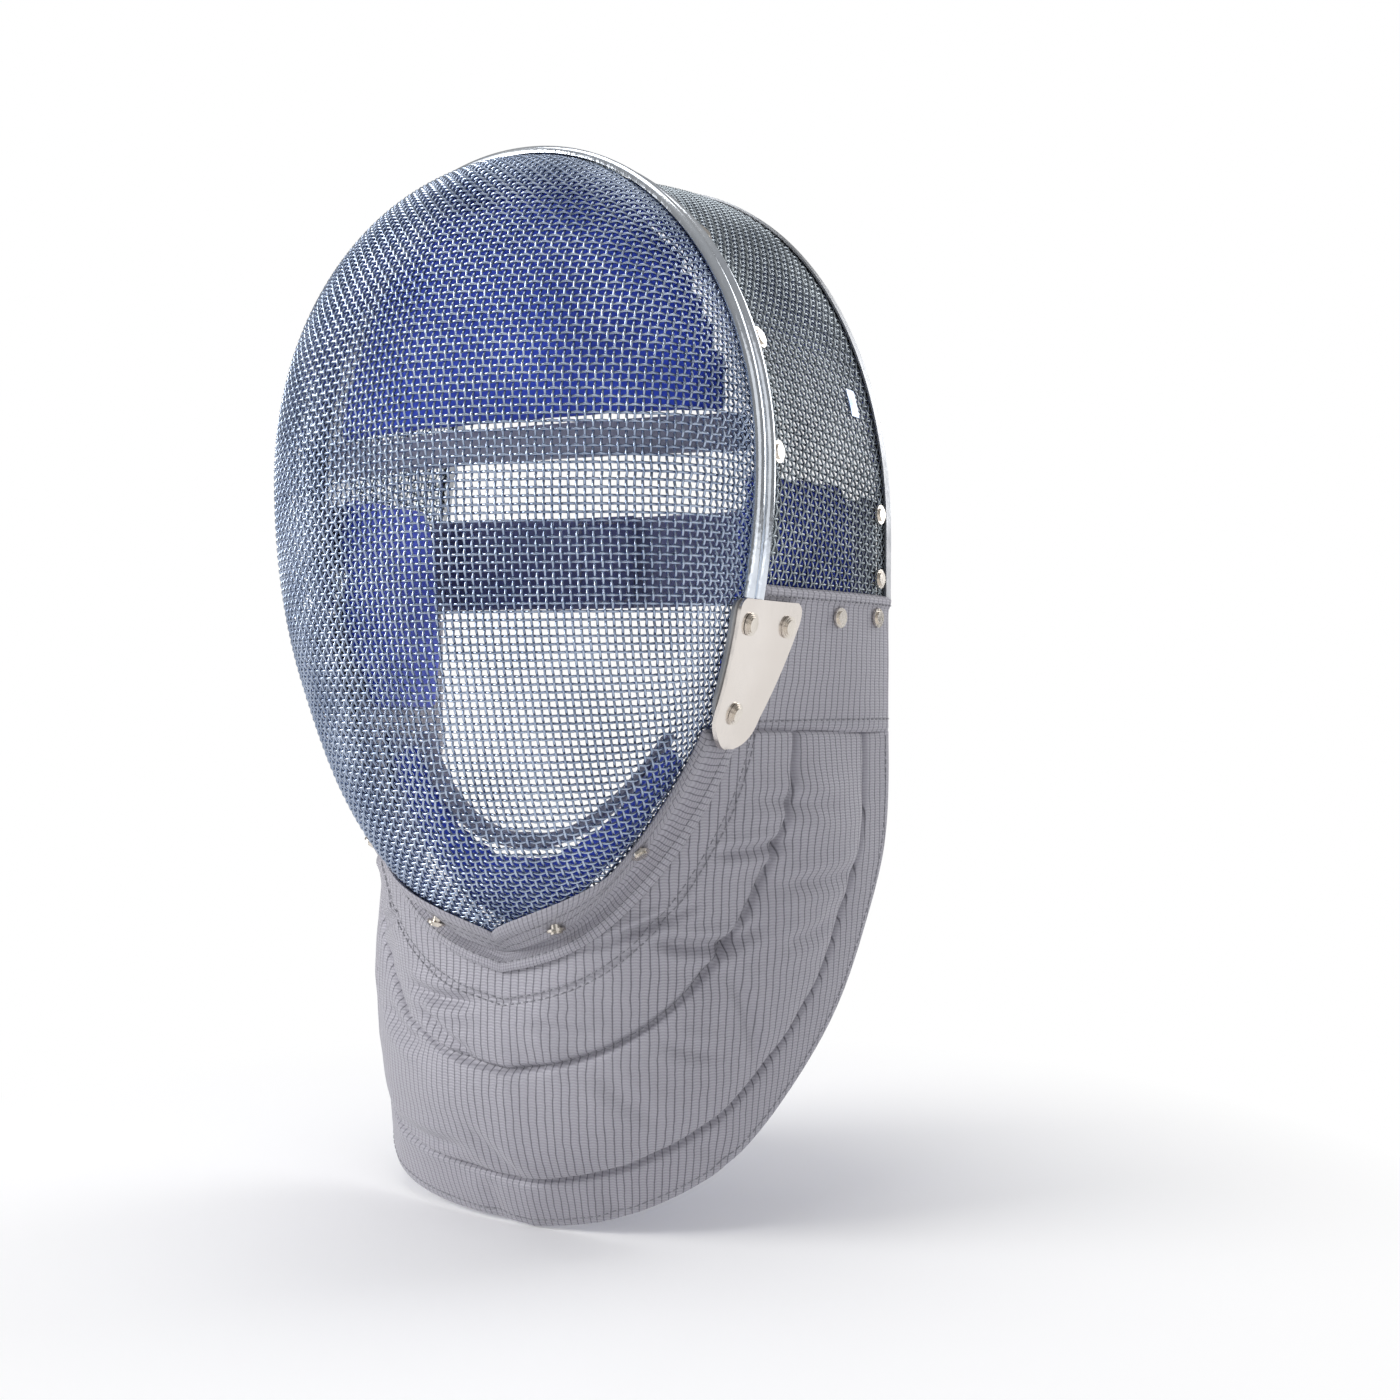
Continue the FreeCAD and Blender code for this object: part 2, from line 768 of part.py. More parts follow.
def bored(target, *tools):
    out = shapes[target]
    for tool in tools:
        for solid in shapes[tool].Solids:
            if out.BoundBox.intersect(solid.BoundBox):
                out = out.cut(solid)
    shapes[target] = out


for tail in ("left", "right"):
    for name in ("side_plate_", "backing_plate_", "ear_panel_", "cheek_pad_"):
        bored(name + tail, "side_plate_rivets_" + tail, "ear_rivets_" + tail)
    bored("cheek_pad_" + tail, "strap_rivets", "tab_rivets", "rim_rivets", "strap_anchor", "strap_tab")
bored("front_mesh", "jaw_rivets", "side_plate_rivets_left", "side_plate_rivets_right")
bored("jaw_binding", "jaw_rivets", "side_plate_left", "side_plate_right", "backing_plate_left",
      "backing_plate_right")
bored("side_mesh", "rim_rivets", "strap_rivets", "tab_rivets", "ear_rivets_left", "ear_rivets_right")
bored("strap_anchor", "strap_rivets")
bored("strap_tab", "tab_rivets")
bored("inner_rim_band", "rim_rivets")
bored("crown_pad", "rim_rivets")
bored("chin_pad", "jaw_rivets")

os.makedirs("parts", exist_ok=True)
for name in order:
    save(name, shapes[name])
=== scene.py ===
"""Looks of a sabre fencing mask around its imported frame."""

import json
import logging
import math
from dataclasses import dataclass, field
from enum import Enum
from typing import Callable, Dict, List, Optional, Sequence, Tuple

import bmesh
import bpy
import numpy as np
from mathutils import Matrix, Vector, noise

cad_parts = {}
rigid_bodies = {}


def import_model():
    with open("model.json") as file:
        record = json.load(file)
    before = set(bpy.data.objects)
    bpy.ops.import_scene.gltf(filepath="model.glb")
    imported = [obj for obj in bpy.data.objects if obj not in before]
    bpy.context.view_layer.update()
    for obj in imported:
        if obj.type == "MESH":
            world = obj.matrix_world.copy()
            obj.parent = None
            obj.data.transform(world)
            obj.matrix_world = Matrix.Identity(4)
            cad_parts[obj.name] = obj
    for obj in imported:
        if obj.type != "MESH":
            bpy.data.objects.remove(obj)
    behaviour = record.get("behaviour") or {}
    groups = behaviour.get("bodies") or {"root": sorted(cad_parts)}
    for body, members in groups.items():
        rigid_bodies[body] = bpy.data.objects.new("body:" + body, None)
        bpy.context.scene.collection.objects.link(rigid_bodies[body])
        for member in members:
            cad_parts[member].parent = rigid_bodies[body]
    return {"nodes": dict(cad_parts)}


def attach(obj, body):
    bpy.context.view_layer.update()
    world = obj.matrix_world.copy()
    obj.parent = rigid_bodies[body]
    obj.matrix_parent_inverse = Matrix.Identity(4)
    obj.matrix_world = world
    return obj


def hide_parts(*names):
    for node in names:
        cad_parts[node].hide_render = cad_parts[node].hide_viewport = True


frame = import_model()

MM = 0.001
SHELL = "shell"
STRAP = "closing_strap"
PointFn = Callable[[float, float], Vector]
LiftFn = Callable[[float, float], float]
UvFn = Callable[[Vector, float, float], Tuple[float, float]]
Grid = List[List[Vector]]
Colour = Tuple[float, float, float]
BORDER_CLOSE = 0.86
NECK_Y = 40.0
NECK_RADIUS = 0.093
log = logging.getLogger("mask")


def mix(a: float, b: float, t: float) -> float:
    """Value a share t of the way from a to b."""
    return a + (b - a) * t


def smooth(t: float) -> float:
    """Smooth step from 0 to 1."""
    t = min(1.0, max(0.0, t))
    return t * t * (3.0 - 2.0 * t)


class Curve3:
    """Natural cubic through a few points, read by its share of length."""

    def __init__(self, points: Sequence[Vector]) -> None:
        """Fits the spline.

        Args:
            points: The points it passes through.
        """
        p = np.array([tuple(q) for q in points])
        t = np.r_[0.0, np.cumsum(np.linalg.norm(np.diff(p, axis=0), axis=1))]
        n = len(t)
        h = np.diff(t)
        a = np.eye(n)
        b = np.zeros((n, 3))
        for i in range(1, n - 1):
            a[i, i - 1:i + 2] = h[i - 1], 2.0 * (h[i - 1] + h[i]), h[i]
            b[i] = 6.0 * ((p[i + 1] - p[i]) / h[i] - (p[i] - p[i - 1]) / h[i - 1])
        m = np.linalg.solve(a, b)
        s = np.linspace(0.0, t[-1], 400)
        k = np.clip(np.searchsorted(t, s, side="right") - 1, 0, n - 2)
        hk = h[k][:, None]
        l = (t[k + 1] - s)[:, None] / hk
        r = (s - t[k])[:, None] / hk
        self.line = l * p[k] + r * p[k + 1] + ((l ** 3 - l) * m[k] + (r ** 3 - r) * m[k + 1]) * hk ** 2 / 6.0
        self.run = np.r_[0.0, np.cumsum(np.linalg.norm(np.diff(self.line, axis=0), axis=1))]

    def at(self, share: float) -> Vector:
        """Point at a share of the length."""
        d = self.run[-1] * min(1.0, max(0.0, share))
        return Vector([float(np.interp(d, self.run, self.line[:, c])) for c in range(3)])

    def share_of(self, point: Vector) -> float:
        """Share of the length nearest to a point."""
        i = int(np.argmin(np.sum((self.line - np.array(tuple(point))) ** 2, axis=1)))
        return float(self.run[i] / self.run[-1])


@dataclass(frozen=True)
class MaskShape:
    """Outlines and surfaces of the shell, in millimetres."""

    half_width: float = 101.3
    wide_z: float = 16.0
    top_z: float = 138.0
    chin_z: float = -163.0
    depth: float = 78.0
    rim_y: float = -49.5
    chin_forward: float = 13.0
    rear_half: float = 110.5
    rear_top: float = 150.0
    rear_y: float = 52.0
    side_low: float = -30.0
    ear_low: float = -80.6
    bib_low: float = -276.0
    bib_rear: float = -112.0
    bib_w: float = 88.0
    bib_sag: float = 20.0
    bib_flare: float = 18.0
    bib_gap: float = 0.9
    bib_axis: float = 25.0
    bib_belly: float = 9.0
    crown_power: float = 0.98
    jaw_bulge: float = 1.98
    jaw_power: float = 0.586
    chin_from: float = 0.45
    crease_chin_bulge: float = 3.1
    crease_chin_power: float = 0.96
    section_across: float = 1.30
    section_front: float = 2.9
    rear_power: float = 0.96

    def jaw_width(self, s: float) -> float:
        """Share of the rim's full width, for a sine below its widest level."""
        return max(0.0, 1.0 - abs(s) ** self.jaw_bulge) ** self.jaw_power

    def chin_lead(self, s: float) -> float:
        """Distance of the rim in front of its plane, for the sine of a rim angle."""
        if s >= 0:
            return 0.0
        return self.chin_forward * smooth((abs(s) - self.chin_from) / (1.0 - self.chin_from))

    def rim(self, phi: float, grow: float = 0.0) -> Vector:
        """Half outline of the rim at an angle."""
        s, c = math.sin(phi), max(0.0, math.cos(phi))
        if s >= 0:
            return Vector(((self.half_width + grow) * c ** self.crown_power, self.rim_y,
                           self.wide_z + (self.top_z + grow - self.wide_z) * s))
        x = (self.half_width + grow) * self.jaw_width(s)
        z = self.wide_z + (self.wide_z - self.chin_z + grow) * s
        return Vector((x, self.rim_y - self.chin_lead(s), z))

    def level(self, z: float) -> float:
        """Rim angle at a height."""
        if z >= self.wide_z:
            return math.asin(min(1.0, (z - self.wide_z) / (self.top_z - self.wide_z)))
        return -math.asin(min(1.0, (self.wide_z - z) / (self.wide_z - self.chin_z)))

    def depth_at(self, s: float) -> float:
        """Crease in front of the rim for the sine of a rim angle."""
        if s >= 0:
            return self.depth * max(0.0, 1.0 - s * s) ** (self.crown_power / 2.0)
        return self.depth * max(0.0, 1.0 - abs(s) ** self.crease_chin_bulge) ** self.crease_chin_power

    def visor(self, phi: float, th: float, inset: float) -> Vector:
        """Front mesh surface."""
        rim = self.rim(phi, -inset)
        depth = self.depth_at(math.sin(phi)) * (self.depth - inset) / self.depth
        a = th * math.pi / 2.0
        x = (math.sin(a) ** 2) ** (1.0 / self.section_across)
        g = max(0.0, math.cos(a)) ** (2.0 / self.section_front)
        return Vector((rim.x * x, rim.y - depth * g, rim.z))

    def rear(self, psi: float) -> Vector:
        """Rear arch."""
        s = math.sin(psi)
        across = max(0.0, math.cos(psi)) ** self.rear_power if s >= 0 else 1.0
        return Vector((self.rear_half * across, self.rear_y, self.rear_top * s))

    def back_share(self, y: float) -> float:
        """Eased share of the way from the rim to the rear arch."""
        return smooth((y - self.rim_y) / (self.rear_y - self.rim_y))

    def side(self, side: float, y: float, grow: float = 0.0) -> Vector:
        """Side mesh surface, side -1..1 over the crown."""
        share = abs(side)
        end = math.asin(self.side_low / self.rear_top)
        a = self.rim(mix(math.pi / 2.0, self.level(self.side_low), share), grow)
        psi = mix(math.pi / 2.0, end, share)
        b = self.rear(psi)
        k = self.back_share(y)
        x = mix(a.x, b.x, k) + math.cos(psi) * grow * k
        return Vector((-x if side < 0 else x, y, mix(a.z, b.z, k) + math.sin(psi) * grow * k))

    def flank(self, z: float, y: float) -> float:
        """Half width of the shell below the side mesh."""
        k = self.back_share(y)
        return mix(self.rim(self.level(z)).x, self.rear_half, k)


SHAPE = MaskShape()


class BibShape:
    """Surface of the bib between the jaw and its free edge."""

    def __init__(self, shape: MaskShape) -> None:
        """Lays out both guide curves.

        Args:
            shape: The shell it hangs from.
        """
        self.shape = shape
        end = shape.level(shape.ear_low - shape.bib_gap)
        top = []
        for share in (0.0, 0.31, 0.57, 0.78, 0.91, 1.0):
            p = shape.rim(mix(-math.pi / 2.0, end, share))
            top.append(p + Vector((0, shape.bib_gap, 0)))
        w, z = shape.bib_w, shape.bib_low
        rear = shape.rear_half
        low = [(0, -42, z), (0.30 * w, -38, z + 4), (0.58 * w, -29, z + 13), (0.80 * w, -16, z + 26),
               (0.97 * w, 8, z + 50), (1.12 * w, 30, z + 84), (1.20 * w, 43, z + 117),
               (rear, 50, shape.bib_rear - 18), (rear + 1.0, shape.rear_y, shape.bib_rear),
               (rear + 1.2, shape.rear_y, shape.ear_low - shape.bib_gap)]
        self.top = Curve3(top)
        self.low = Curve3([Vector(q) for q in low])

    def base(self, u: float, v: float) -> Vector:
        """Base surface point, u across from the wearer's right, v down."""
        side = 2.0 * u - 1.0
        a, b = self.top.at(abs(side)), self.low.at(abs(side))
        p = a + (b - a) * v
        out = Vector((p.x, p.y - self.shape.bib_axis, 0)).normalized()
        p += out * (self.shape.bib_belly * math.sin(math.pi * v) * (1.0 - 0.25 * abs(side) - 0.6 * side ** 4))
        if side < 0:
            p.z -= self.shape.bib_sag * v * v * math.sin(math.pi * min(1.0, abs(side) / 0.8)) ** 2
            p.x += self.shape.bib_flare * v ** 1.5 * math.sin(math.pi * min(1.0, abs(side)))
            p.x = -p.x
        return p

    def normal(self, u: float, v: float) -> Vector:
        """Outward normal of the base surface."""
        e = 0.004
        ua, ub, va, vb = max(0.0, u - e), min(1.0, u + e), max(0.0, v - e), min(1.0, v + e)
        n = (self.base(u, vb) - self.base(u, va)).cross(self.base(ub, v) - self.base(ua, v))
        return n.normalized()


BIB = BibShape(SHAPE)


# ---------------------------------------------------------------- meshes
def link(name: str, mesh: bpy.types.Mesh) -> bpy.types.Object:
    """New object of a mesh in the scene."""
    obj = bpy.data.objects.new(name, mesh)
    bpy.context.scene.collection.objects.link(obj)
    return obj


def shade_smooth(mesh: bpy.types.Mesh) -> None:
    """Smooth shading on every face."""
    mesh.polygons.foreach_set("use_smooth", [True] * len(mesh.polygons))


def grid_shell(name: str, outer: Grid, inner: Grid, uv: Optional[UvFn] = None) -> bpy.types.Object:
    """Closed shell between two point grids.

    Args:
        name: Object name.
        outer: Grid of outside points in millimetres.
        inner: Grid of inside points of the same size.
        uv: Maps a point and its grid shares to UV in metres.

    Returns:
        The object, normals outwards.
    """
    nu, nv = len(outer), len(outer[0])
    verts = [p * MM for row in outer for p in row] + [p * MM for row in inner for p in row]
    off = nu * nv
    faces = []
    for i in range(nu - 1):
        for j in range(nv - 1):
            a, b, c, d = i * nv + j, (i + 1) * nv + j, (i + 1) * nv + j + 1, i * nv + j + 1
            faces.append((a, b, c, d))
            faces.append((off + d, off + c, off + b, off + a))
    ring = [i * nv for i in range(nu)] + [(nu - 1) * nv + j for j in range(1, nv)]
    ring += [i * nv + nv - 1 for i in range(nu - 2, -1, -1)] + [j for j in range(nv - 2, 0, -1)]
    for k, a in enumerate(ring):
        b = ring[(k + 1) % len(ring)]
        faces.append((b, a, off + a, off + b))
    mesh = bpy.data.meshes.new(name)
    mesh.from_pydata(verts, [], faces)
    fix_normals(mesh)
    if uv is not None:
        flat = []
        for grid in (outer, inner):
            for i, row in enumerate(grid):
                for j, p in enumerate(row):
                    flat.append(uv(p, i / (nu - 1.0), j / (nv - 1.0)))
        layer = mesh.uv_layers.new(name="weave")
        index = np.zeros(len(mesh.loops), dtype=np.int64)
        mesh.loops.foreach_get("vertex_index", index)
        layer.data.foreach_set("uv", np.array(flat)[index].ravel())
    shade_smooth(mesh)
    return link(name, mesh)


def fix_normals(mesh: bpy.types.Mesh) -> None:
    """Points the faces of a closed mesh outwards."""
    bm = bmesh.new()
    bm.from_mesh(mesh)
    bmesh.ops.recalc_face_normals(bm, faces=bm.faces)
    if bm.calc_volume(signed=True) < 0:
        bmesh.ops.reverse_faces(bm, faces=bm.faces)
    bm.to_mesh(mesh)
    bm.free()


def sample(fn: PointFn, nu: int, nv: int) -> Grid:
    """Grid of points of a function over the unit square."""
    return [[fn(i / (nu - 1.0), j / (nv - 1.0)) for j in range(nv)] for i in range(nu)]


def rounded(outer: Grid, inner: Grid, rim: int = 2) -> None:
    """Rounds the border of a padded shell by closing its two grids towards each other.

    Args:
        outer: Outside grid, changed in place.
        inner: Inside grid, changed in place.
        rim: Rows that take part.
    """
    nu, nv = len(outer), len(outer[0])
    for i in range(nu):
        for j in range(nv):
            d = min(i, j, nu - 1 - i, nv - 1 - j)
            if d < rim:
                k = 0.5 * (1.0 - math.sqrt(1.0 - (1.0 - d / rim) ** 2)) * BORDER_CLOSE
                a, b = outer[i][j].copy(), inner[i][j].copy()
                outer[i][j] = a.lerp(b, k)
                inner[i][j] = b.lerp(a, k)


def plan_uv(p: Vector, u: float, v: float) -> Tuple[float, float]:
    """Cloth cut with its ribs upright: distance round the neck and height, in metres."""
    return math.atan2(p.x, -(p.y - NECK_Y)) * NECK_RADIUS, p.z * MM


def mirror(*grids: Grid) -> None:
    """Turns point grids over to the wearer's right, in place."""
    for grid in grids:
        for row in grid:
            for p in row:
                p.x = -p.x


def applied(obj: bpy.types.Object) -> bpy.types.Object:
    """Turns the modifiers of an object into mesh."""
    dg = bpy.context.evaluated_depsgraph_get()
    mesh = bpy.data.meshes.new_from_object(obj.evaluated_get(dg), depsgraph=dg)
    obj.modifiers.clear()
    obj.data = mesh
    return obj


def coordinates(obj: bpy.types.Object) -> np.ndarray:
    """Places of an object's points, one row each."""
    co = np.zeros(len(obj.data.vertices) * 3)
    obj.data.vertices.foreach_get("co", co)
    return co.reshape(-1, 3)


# ---------------------------------------------------------------- node trees
class Tree:
    """Small writer of node links."""

    def __init__(self, tree: bpy.types.NodeTree) -> None:
        """Keeps the tree.

        Args:
            tree: A shader, group or geometry tree.
        """
        self.tree = tree

    def add(self, kind: str, inputs: Optional[Dict[object, object]] = None,
            **props: object) -> bpy.types.Node:
        """Adds a node with its properties, then its inputs by name or number."""
        node = self.tree.nodes.new(kind)
        for key, value in props.items():
            setattr(node, key, value)
        for key, value in (inputs or {}).items():
            self.put(node.inputs[key], value)
        return node

    def put(self, socket: bpy.types.NodeSocket, value: object) -> None:
        """Links or sets an input."""
        if isinstance(value, bpy.types.NodeSocket):
            self.tree.links.new(value, socket)
        elif value is not None:
            socket.default_value = value

    def math(self, op: str, a: object, b: object = None) -> bpy.types.NodeSocket:
        """Math node."""
        return self.add("ShaderNodeMath", {0: a, 1: b}, operation=op).outputs[0]

    def noise(self, vector: object, scale: object, detail: float = 3.0) -> bpy.types.NodeSocket:
        """Noise value."""
        node = self.add("ShaderNodeTexNoise", {"Vector": vector, "Scale": scale, "Detail": detail})
        return node.outputs["Fac"]

    def blend(self, fac: object, a: object, b: object) -> bpy.types.NodeSocket:
        """Mix of two colours."""
        return self.add("ShaderNodeMix", {0: fac, 6: a, 7: b}, data_type="RGBA").outputs[2]

    def ramp(self, value: object, lo: float, hi: float, a: float = 0.0,
             b: float = 1.0) -> bpy.types.NodeSocket:
        """Clamped range of a value."""
        return self.add("ShaderNodeMapRange", dict(enumerate((value, lo, hi, a, b)))).outputs[0]

    def parts(self, vector: object) -> bpy.types.NodeSocket:
        """The three parts of a vector."""
        return self.add("ShaderNodeSeparateXYZ", {0: vector}).outputs

    def place(self) -> bpy.types.NodeSocket:
        """Object coordinates."""
        return self.add("ShaderNodeTexCoord").outputs["Object"]

    def cut(self) -> bpy.types.NodeSocket:
        """UV map of a cut piece of cloth."""
        return self.add("ShaderNodeUVMap", uv_map="weave").outputs[0]


def new_group(name: str, inputs: Sequence[Tuple[str, str, float]],
              outputs: Sequence[Tuple[str, str]]) -> Tuple[bpy.types.NodeTree, Tree, object, object]:
    """Empty shader group with named sockets.

    Args:
        name: Group name.
        inputs: Name, socket type and default of each input.
        outputs: Name and socket type of each output.

    Returns:
        The group, its writer, and its input and output nodes.
    """
    group = bpy.data.node_groups.new(name, "ShaderNodeTree")
    for label, kind, default in inputs:
        sock = group.interface.new_socket(label, in_out="INPUT", socket_type=kind)
        if kind == "NodeSocketFloat":
            sock.default_value = default
    for label, kind in outputs:
        group.interface.new_socket(label, in_out="OUTPUT", socket_type=kind)
    t = Tree(group)
    return group, t, t.add("NodeGroupInput"), t.add("NodeGroupOutput")


class Effects:
    """Shader groups shared by the finishes."""

    def __init__(self) -> None:
        """Builds each group once."""
        self.wear = self._wear()
        self.ribs = self._ribs()
        self.weave = self._weave()
        self.nap = self._nap()

    def _wear(self) -> bpy.types.NodeTree:
        """Fine scratches and handling marks on metal."""
        group, t, i, o = new_group("metal_wear", [("Scale", "NodeSocketFloat", 60.0),
                                                  ("Stretch", "NodeSocketFloat", 6.0)],
                                   [("Marks", "NodeSocketFloat"), ("Tone", "NodeSocketFloat")])
        pos = t.place()
        comb = t.add("ShaderNodeCombineXYZ", {0: i.outputs["Stretch"], 1: i.outputs["Stretch"], 2: 1.0})
        mapping = t.add("ShaderNodeMapping", {"Vector": pos, "Scale": comb.outputs[0]})
        marks = t.noise(mapping.outputs[0], t.math("MULTIPLY", i.outputs["Scale"], 8.0), 5.0)
        tone = t.noise(pos, i.outputs["Scale"], 4.0)
        t.put(o.inputs["Marks"], t.ramp(marks, 0.42, 0.62))
        t.put(o.inputs["Tone"], tone)
        return group

    def _ribs(self) -> bpy.types.NodeTree:
        """Ribbed metallic weave read from the cut's UV map: fine cross ribs between dark upright lines."""
        group, t, i, o = new_group("ribbed_weave", [("Line Pitch", "NodeSocketFloat", 0.0030),
                                                    ("Rib Pitch", "NodeSocketFloat", 0.00115)],
                                   [("Height", "NodeSocketFloat"), ("Line", "NodeSocketFloat"),
                                    ("Rib", "NodeSocketFloat"), ("Cloud", "NodeSocketFloat")])
        uv = t.cut()
        sep = t.parts(uv)
        wob = t.noise(uv, 90.0, 2.0)
        x = t.math("ADD", sep[0], t.math("MULTIPLY", t.math("SUBTRACT", wob, 0.5), 0.0016))
        col = t.math("DIVIDE", x, i.outputs["Line Pitch"])
        cell = t.math("FRACT", col)
        near = t.math("ABSOLUTE", t.math("SUBTRACT", cell, 0.5))
        odd = t.math("MODULO", t.math("FLOOR", col), 2.0)
        line = t.ramp(near, 0.37, 0.47)
        line = t.math("MULTIPLY", line, t.ramp(t.math("ABSOLUTE", odd), 0.0, 1.0, 0.62, 1.0))
        phase = t.math("MULTIPLY", near, 0.55)
        y = t.math("ADD", t.math("DIVIDE", sep[1], i.outputs["Rib Pitch"]), phase)
        rib = t.math("SINE", t.math("MULTIPLY", y, 2.0 * math.pi))
        rib = t.ramp(rib, -1.0, 1.0)
        fine = t.math("SINE", t.math("MULTIPLY", x, 2.0 * math.pi / 0.00055))
        h = t.math("ADD", rib, t.math("MULTIPLY", fine, 0.12))
        h = t.math("SUBTRACT", h, t.math("MULTIPLY", line, 0.9))
        t.put(o.inputs["Height"], h)
        t.put(o.inputs["Line"], line)
        t.put(o.inputs["Rib"], rib)
        t.put(o.inputs["Cloud"], t.noise(t.place(), 22.0, 4.0))
        return group

    def _weave(self) -> bpy.types.NodeTree:
        """Plain tape weave from the UV map."""
        group, t, i, o = new_group("tape_weave", [("Pitch", "NodeSocketFloat", 0.0009)],
                                   [("Height", "NodeSocketFloat"), ("Cloud", "NodeSocketFloat")])
        sep = t.parts(t.cut())
        parts = []
        for k in range(2):
            a = t.math("MULTIPLY", t.math("DIVIDE", sep[k], i.outputs["Pitch"]), 2.0 * math.pi)
            parts.append(t.math("SINE", a))
        t.put(o.inputs["Height"], t.ramp(t.math("MULTIPLY", parts[0], parts[1]), -1.0, 1.0))
        t.put(o.inputs["Cloud"], t.noise(t.place(), 30.0, 4.0))
        return group

    def _nap(self) -> bpy.types.NodeTree:
        """Towelling nap."""
        group, t, i, o = new_group("nap", [("Scale", "NodeSocketFloat", 900.0)],
                                   [("Height", "NodeSocketFloat"), ("Cloud", "NodeSocketFloat")])
        pos = t.place()
        t.put(o.inputs["Height"], t.noise(pos, i.outputs["Scale"]))
        t.put(o.inputs["Cloud"], t.noise(pos, 25.0, 4.0))
        return group


class Finish:
    """Base of the finishes: makes its material once."""

    name: str
    cache: Dict[str, bpy.types.Material] = {}

    def material(self, fx: Effects) -> bpy.types.Material:
        """The finish as a material.

        Args:
            fx: The shared shader groups.

        Returns:
            The material, made on first use.
        """
        if self.name not in Finish.cache:
            mat = bpy.data.materials.new(self.name)
            mat.use_nodes = True
            t = Tree(mat.node_tree)
            self.write(t, mat.node_tree.nodes["Principled BSDF"], fx)
            Finish.cache[self.name] = mat
        return Finish.cache[self.name]

    def write(self, t: Tree, bsdf: bpy.types.Node, fx: Effects) -> None:
        """Writes the nodes."""
        raise NotImplementedError

    @staticmethod
    def group(t: Tree, tree: bpy.types.NodeTree, **values: float) -> bpy.types.Node:
        """Places a shared group with its own values."""
        node = t.add("ShaderNodeGroup")
        node.node_tree = tree
        for key, value in values.items():
            node.inputs[key.replace("_", " ")].default_value = value
        return node

    @staticmethod
    def bump(t: Tree, bsdf: bpy.types.Node, height: object, strength: float, distance: float) -> None:
        """Bump into the shader's normal."""
        node = t.add("ShaderNodeBump", {"Strength": strength, "Distance": distance, "Height": height})
        t.put(bsdf.inputs["Normal"], node.outputs[0])


@dataclass(frozen=True)
class MetalFinish(Finish):
    """Steel with fine wear."""

    name: str
    light: Colour
    dark: Colour
    rough: Tuple[float, float] = (0.22, 0.34)
    scale: float = 60.0
    relief: float = 0.00002

    def write(self, t: Tree, bsdf: bpy.types.Node, fx: Effects) -> None:
        """Writes the nodes."""
        g = self.group(t, fx.wear, Scale=self.scale)
        bsdf.inputs["Metallic"].default_value = 1.0
        tone = t.ramp(g.outputs["Tone"], 0.35, 0.65)
        t.put(bsdf.inputs["Base Color"], t.blend(tone, (*self.dark, 1), (*self.light, 1)))
        t.put(bsdf.inputs["Roughness"], t.ramp(g.outputs["Marks"], 0.0, 1.0, *self.rough))
        self.bump(t, bsdf, g.outputs["Marks"], 0.25, self.relief)


@dataclass(frozen=True)
class RibbedCloth(Finish):
    """Metallic ribbed cloth of the bib, with painted shade in the troughs between its ribs."""

    name: str
    light: Colour
    line: Colour

    def write(self, t: Tree, bsdf: bpy.types.Node, fx: Effects) -> None:
        """Writes the nodes."""
        g = self.group(t, fx.ribs)
        # Painted shade: the rib troughs take a darker copy of the cloth colour, the crests its full colour.
        painted_rib_shade = tuple(c * 0.80 for c in self.light)
        base = t.blend(g.outputs["Rib"], (*painted_rib_shade, 1), (*self.light, 1))
        soft = tuple(c * 0.88 for c in self.light)
        base = t.blend(t.ramp(g.outputs["Cloud"], 0.35, 0.7, 0.0, 0.5), base, (*soft, 1))
        base = t.blend(t.math("MULTIPLY", g.outputs["Line"], 0.8), base, (*self.line, 1))
        t.put(bsdf.inputs["Base Color"], base)
        bsdf.inputs["Metallic"].default_value = 0.12
        t.put(bsdf.inputs["Roughness"], t.ramp(g.outputs["Rib"], 0.0, 1.0, 0.72, 0.50))
        bsdf.inputs["Sheen Weight"].default_value = 0.15
        self.bump(t, bsdf, g.outputs["Height"], 0.55, 0.00022)


@dataclass(frozen=True)
class TapeCloth(Finish):
    """Woven tape, with painted shade in the hollows of its weave."""

    name: str
    tone: Colour
    pitch: float = 0.0009

    def write(self, t: Tree, bsdf: bpy.types.Node, fx: Effects) -> None:
        """Writes the nodes."""
        g = self.group(t, fx.weave, Pitch=self.pitch)
        # Painted shade: the hollows of the weave take a darker copy of the tape colour, the raised threads
        # its full colour.
        dark = tuple(c * 0.62 for c in self.tone)
        base = t.blend(g.outputs["Height"], (*dark, 1), (*self.tone, 1))
        dull = tuple(c * 0.82 for c in self.tone)
        cloud = t.ramp(g.outputs["Cloud"], 0.4, 0.7, 0.0, 0.6)
        t.put(bsdf.inputs["Base Color"], t.blend(cloud, base, (*dull, 1)))
        t.put(bsdf.inputs["Roughness"], t.ramp(g.outputs["Height"], 0.0, 1.0, 0.85, 0.65))
        bsdf.inputs["Sheen Weight"].default_value = 0.2
        self.bump(t, bsdf, g.outputs["Height"], 0.5, 0.00018)


@dataclass(frozen=True)
class PadCloth(Finish):
    """Brushed cloth over foam."""

    name: str
    tone: Colour

    def write(self, t: Tree, bsdf: bpy.types.Node, fx: Effects) -> None:
        """Writes the nodes."""
        g = self.group(t, fx.nap)
        dark = tuple(c * 0.6 for c in self.tone)
        base = t.blend(t.ramp(g.outputs["Cloud"], 0.3, 0.7), (*dark, 1), (*self.tone, 1))
        t.put(bsdf.inputs["Base Color"], base)
        t.put(bsdf.inputs["Roughness"], t.ramp(g.outputs["Height"], 0.3, 0.7, 0.8, 0.95))
        bsdf.inputs["Sheen Weight"].default_value = 0.35
        self.bump(t, bsdf, g.outputs["Height"], 0.6, 0.0003)


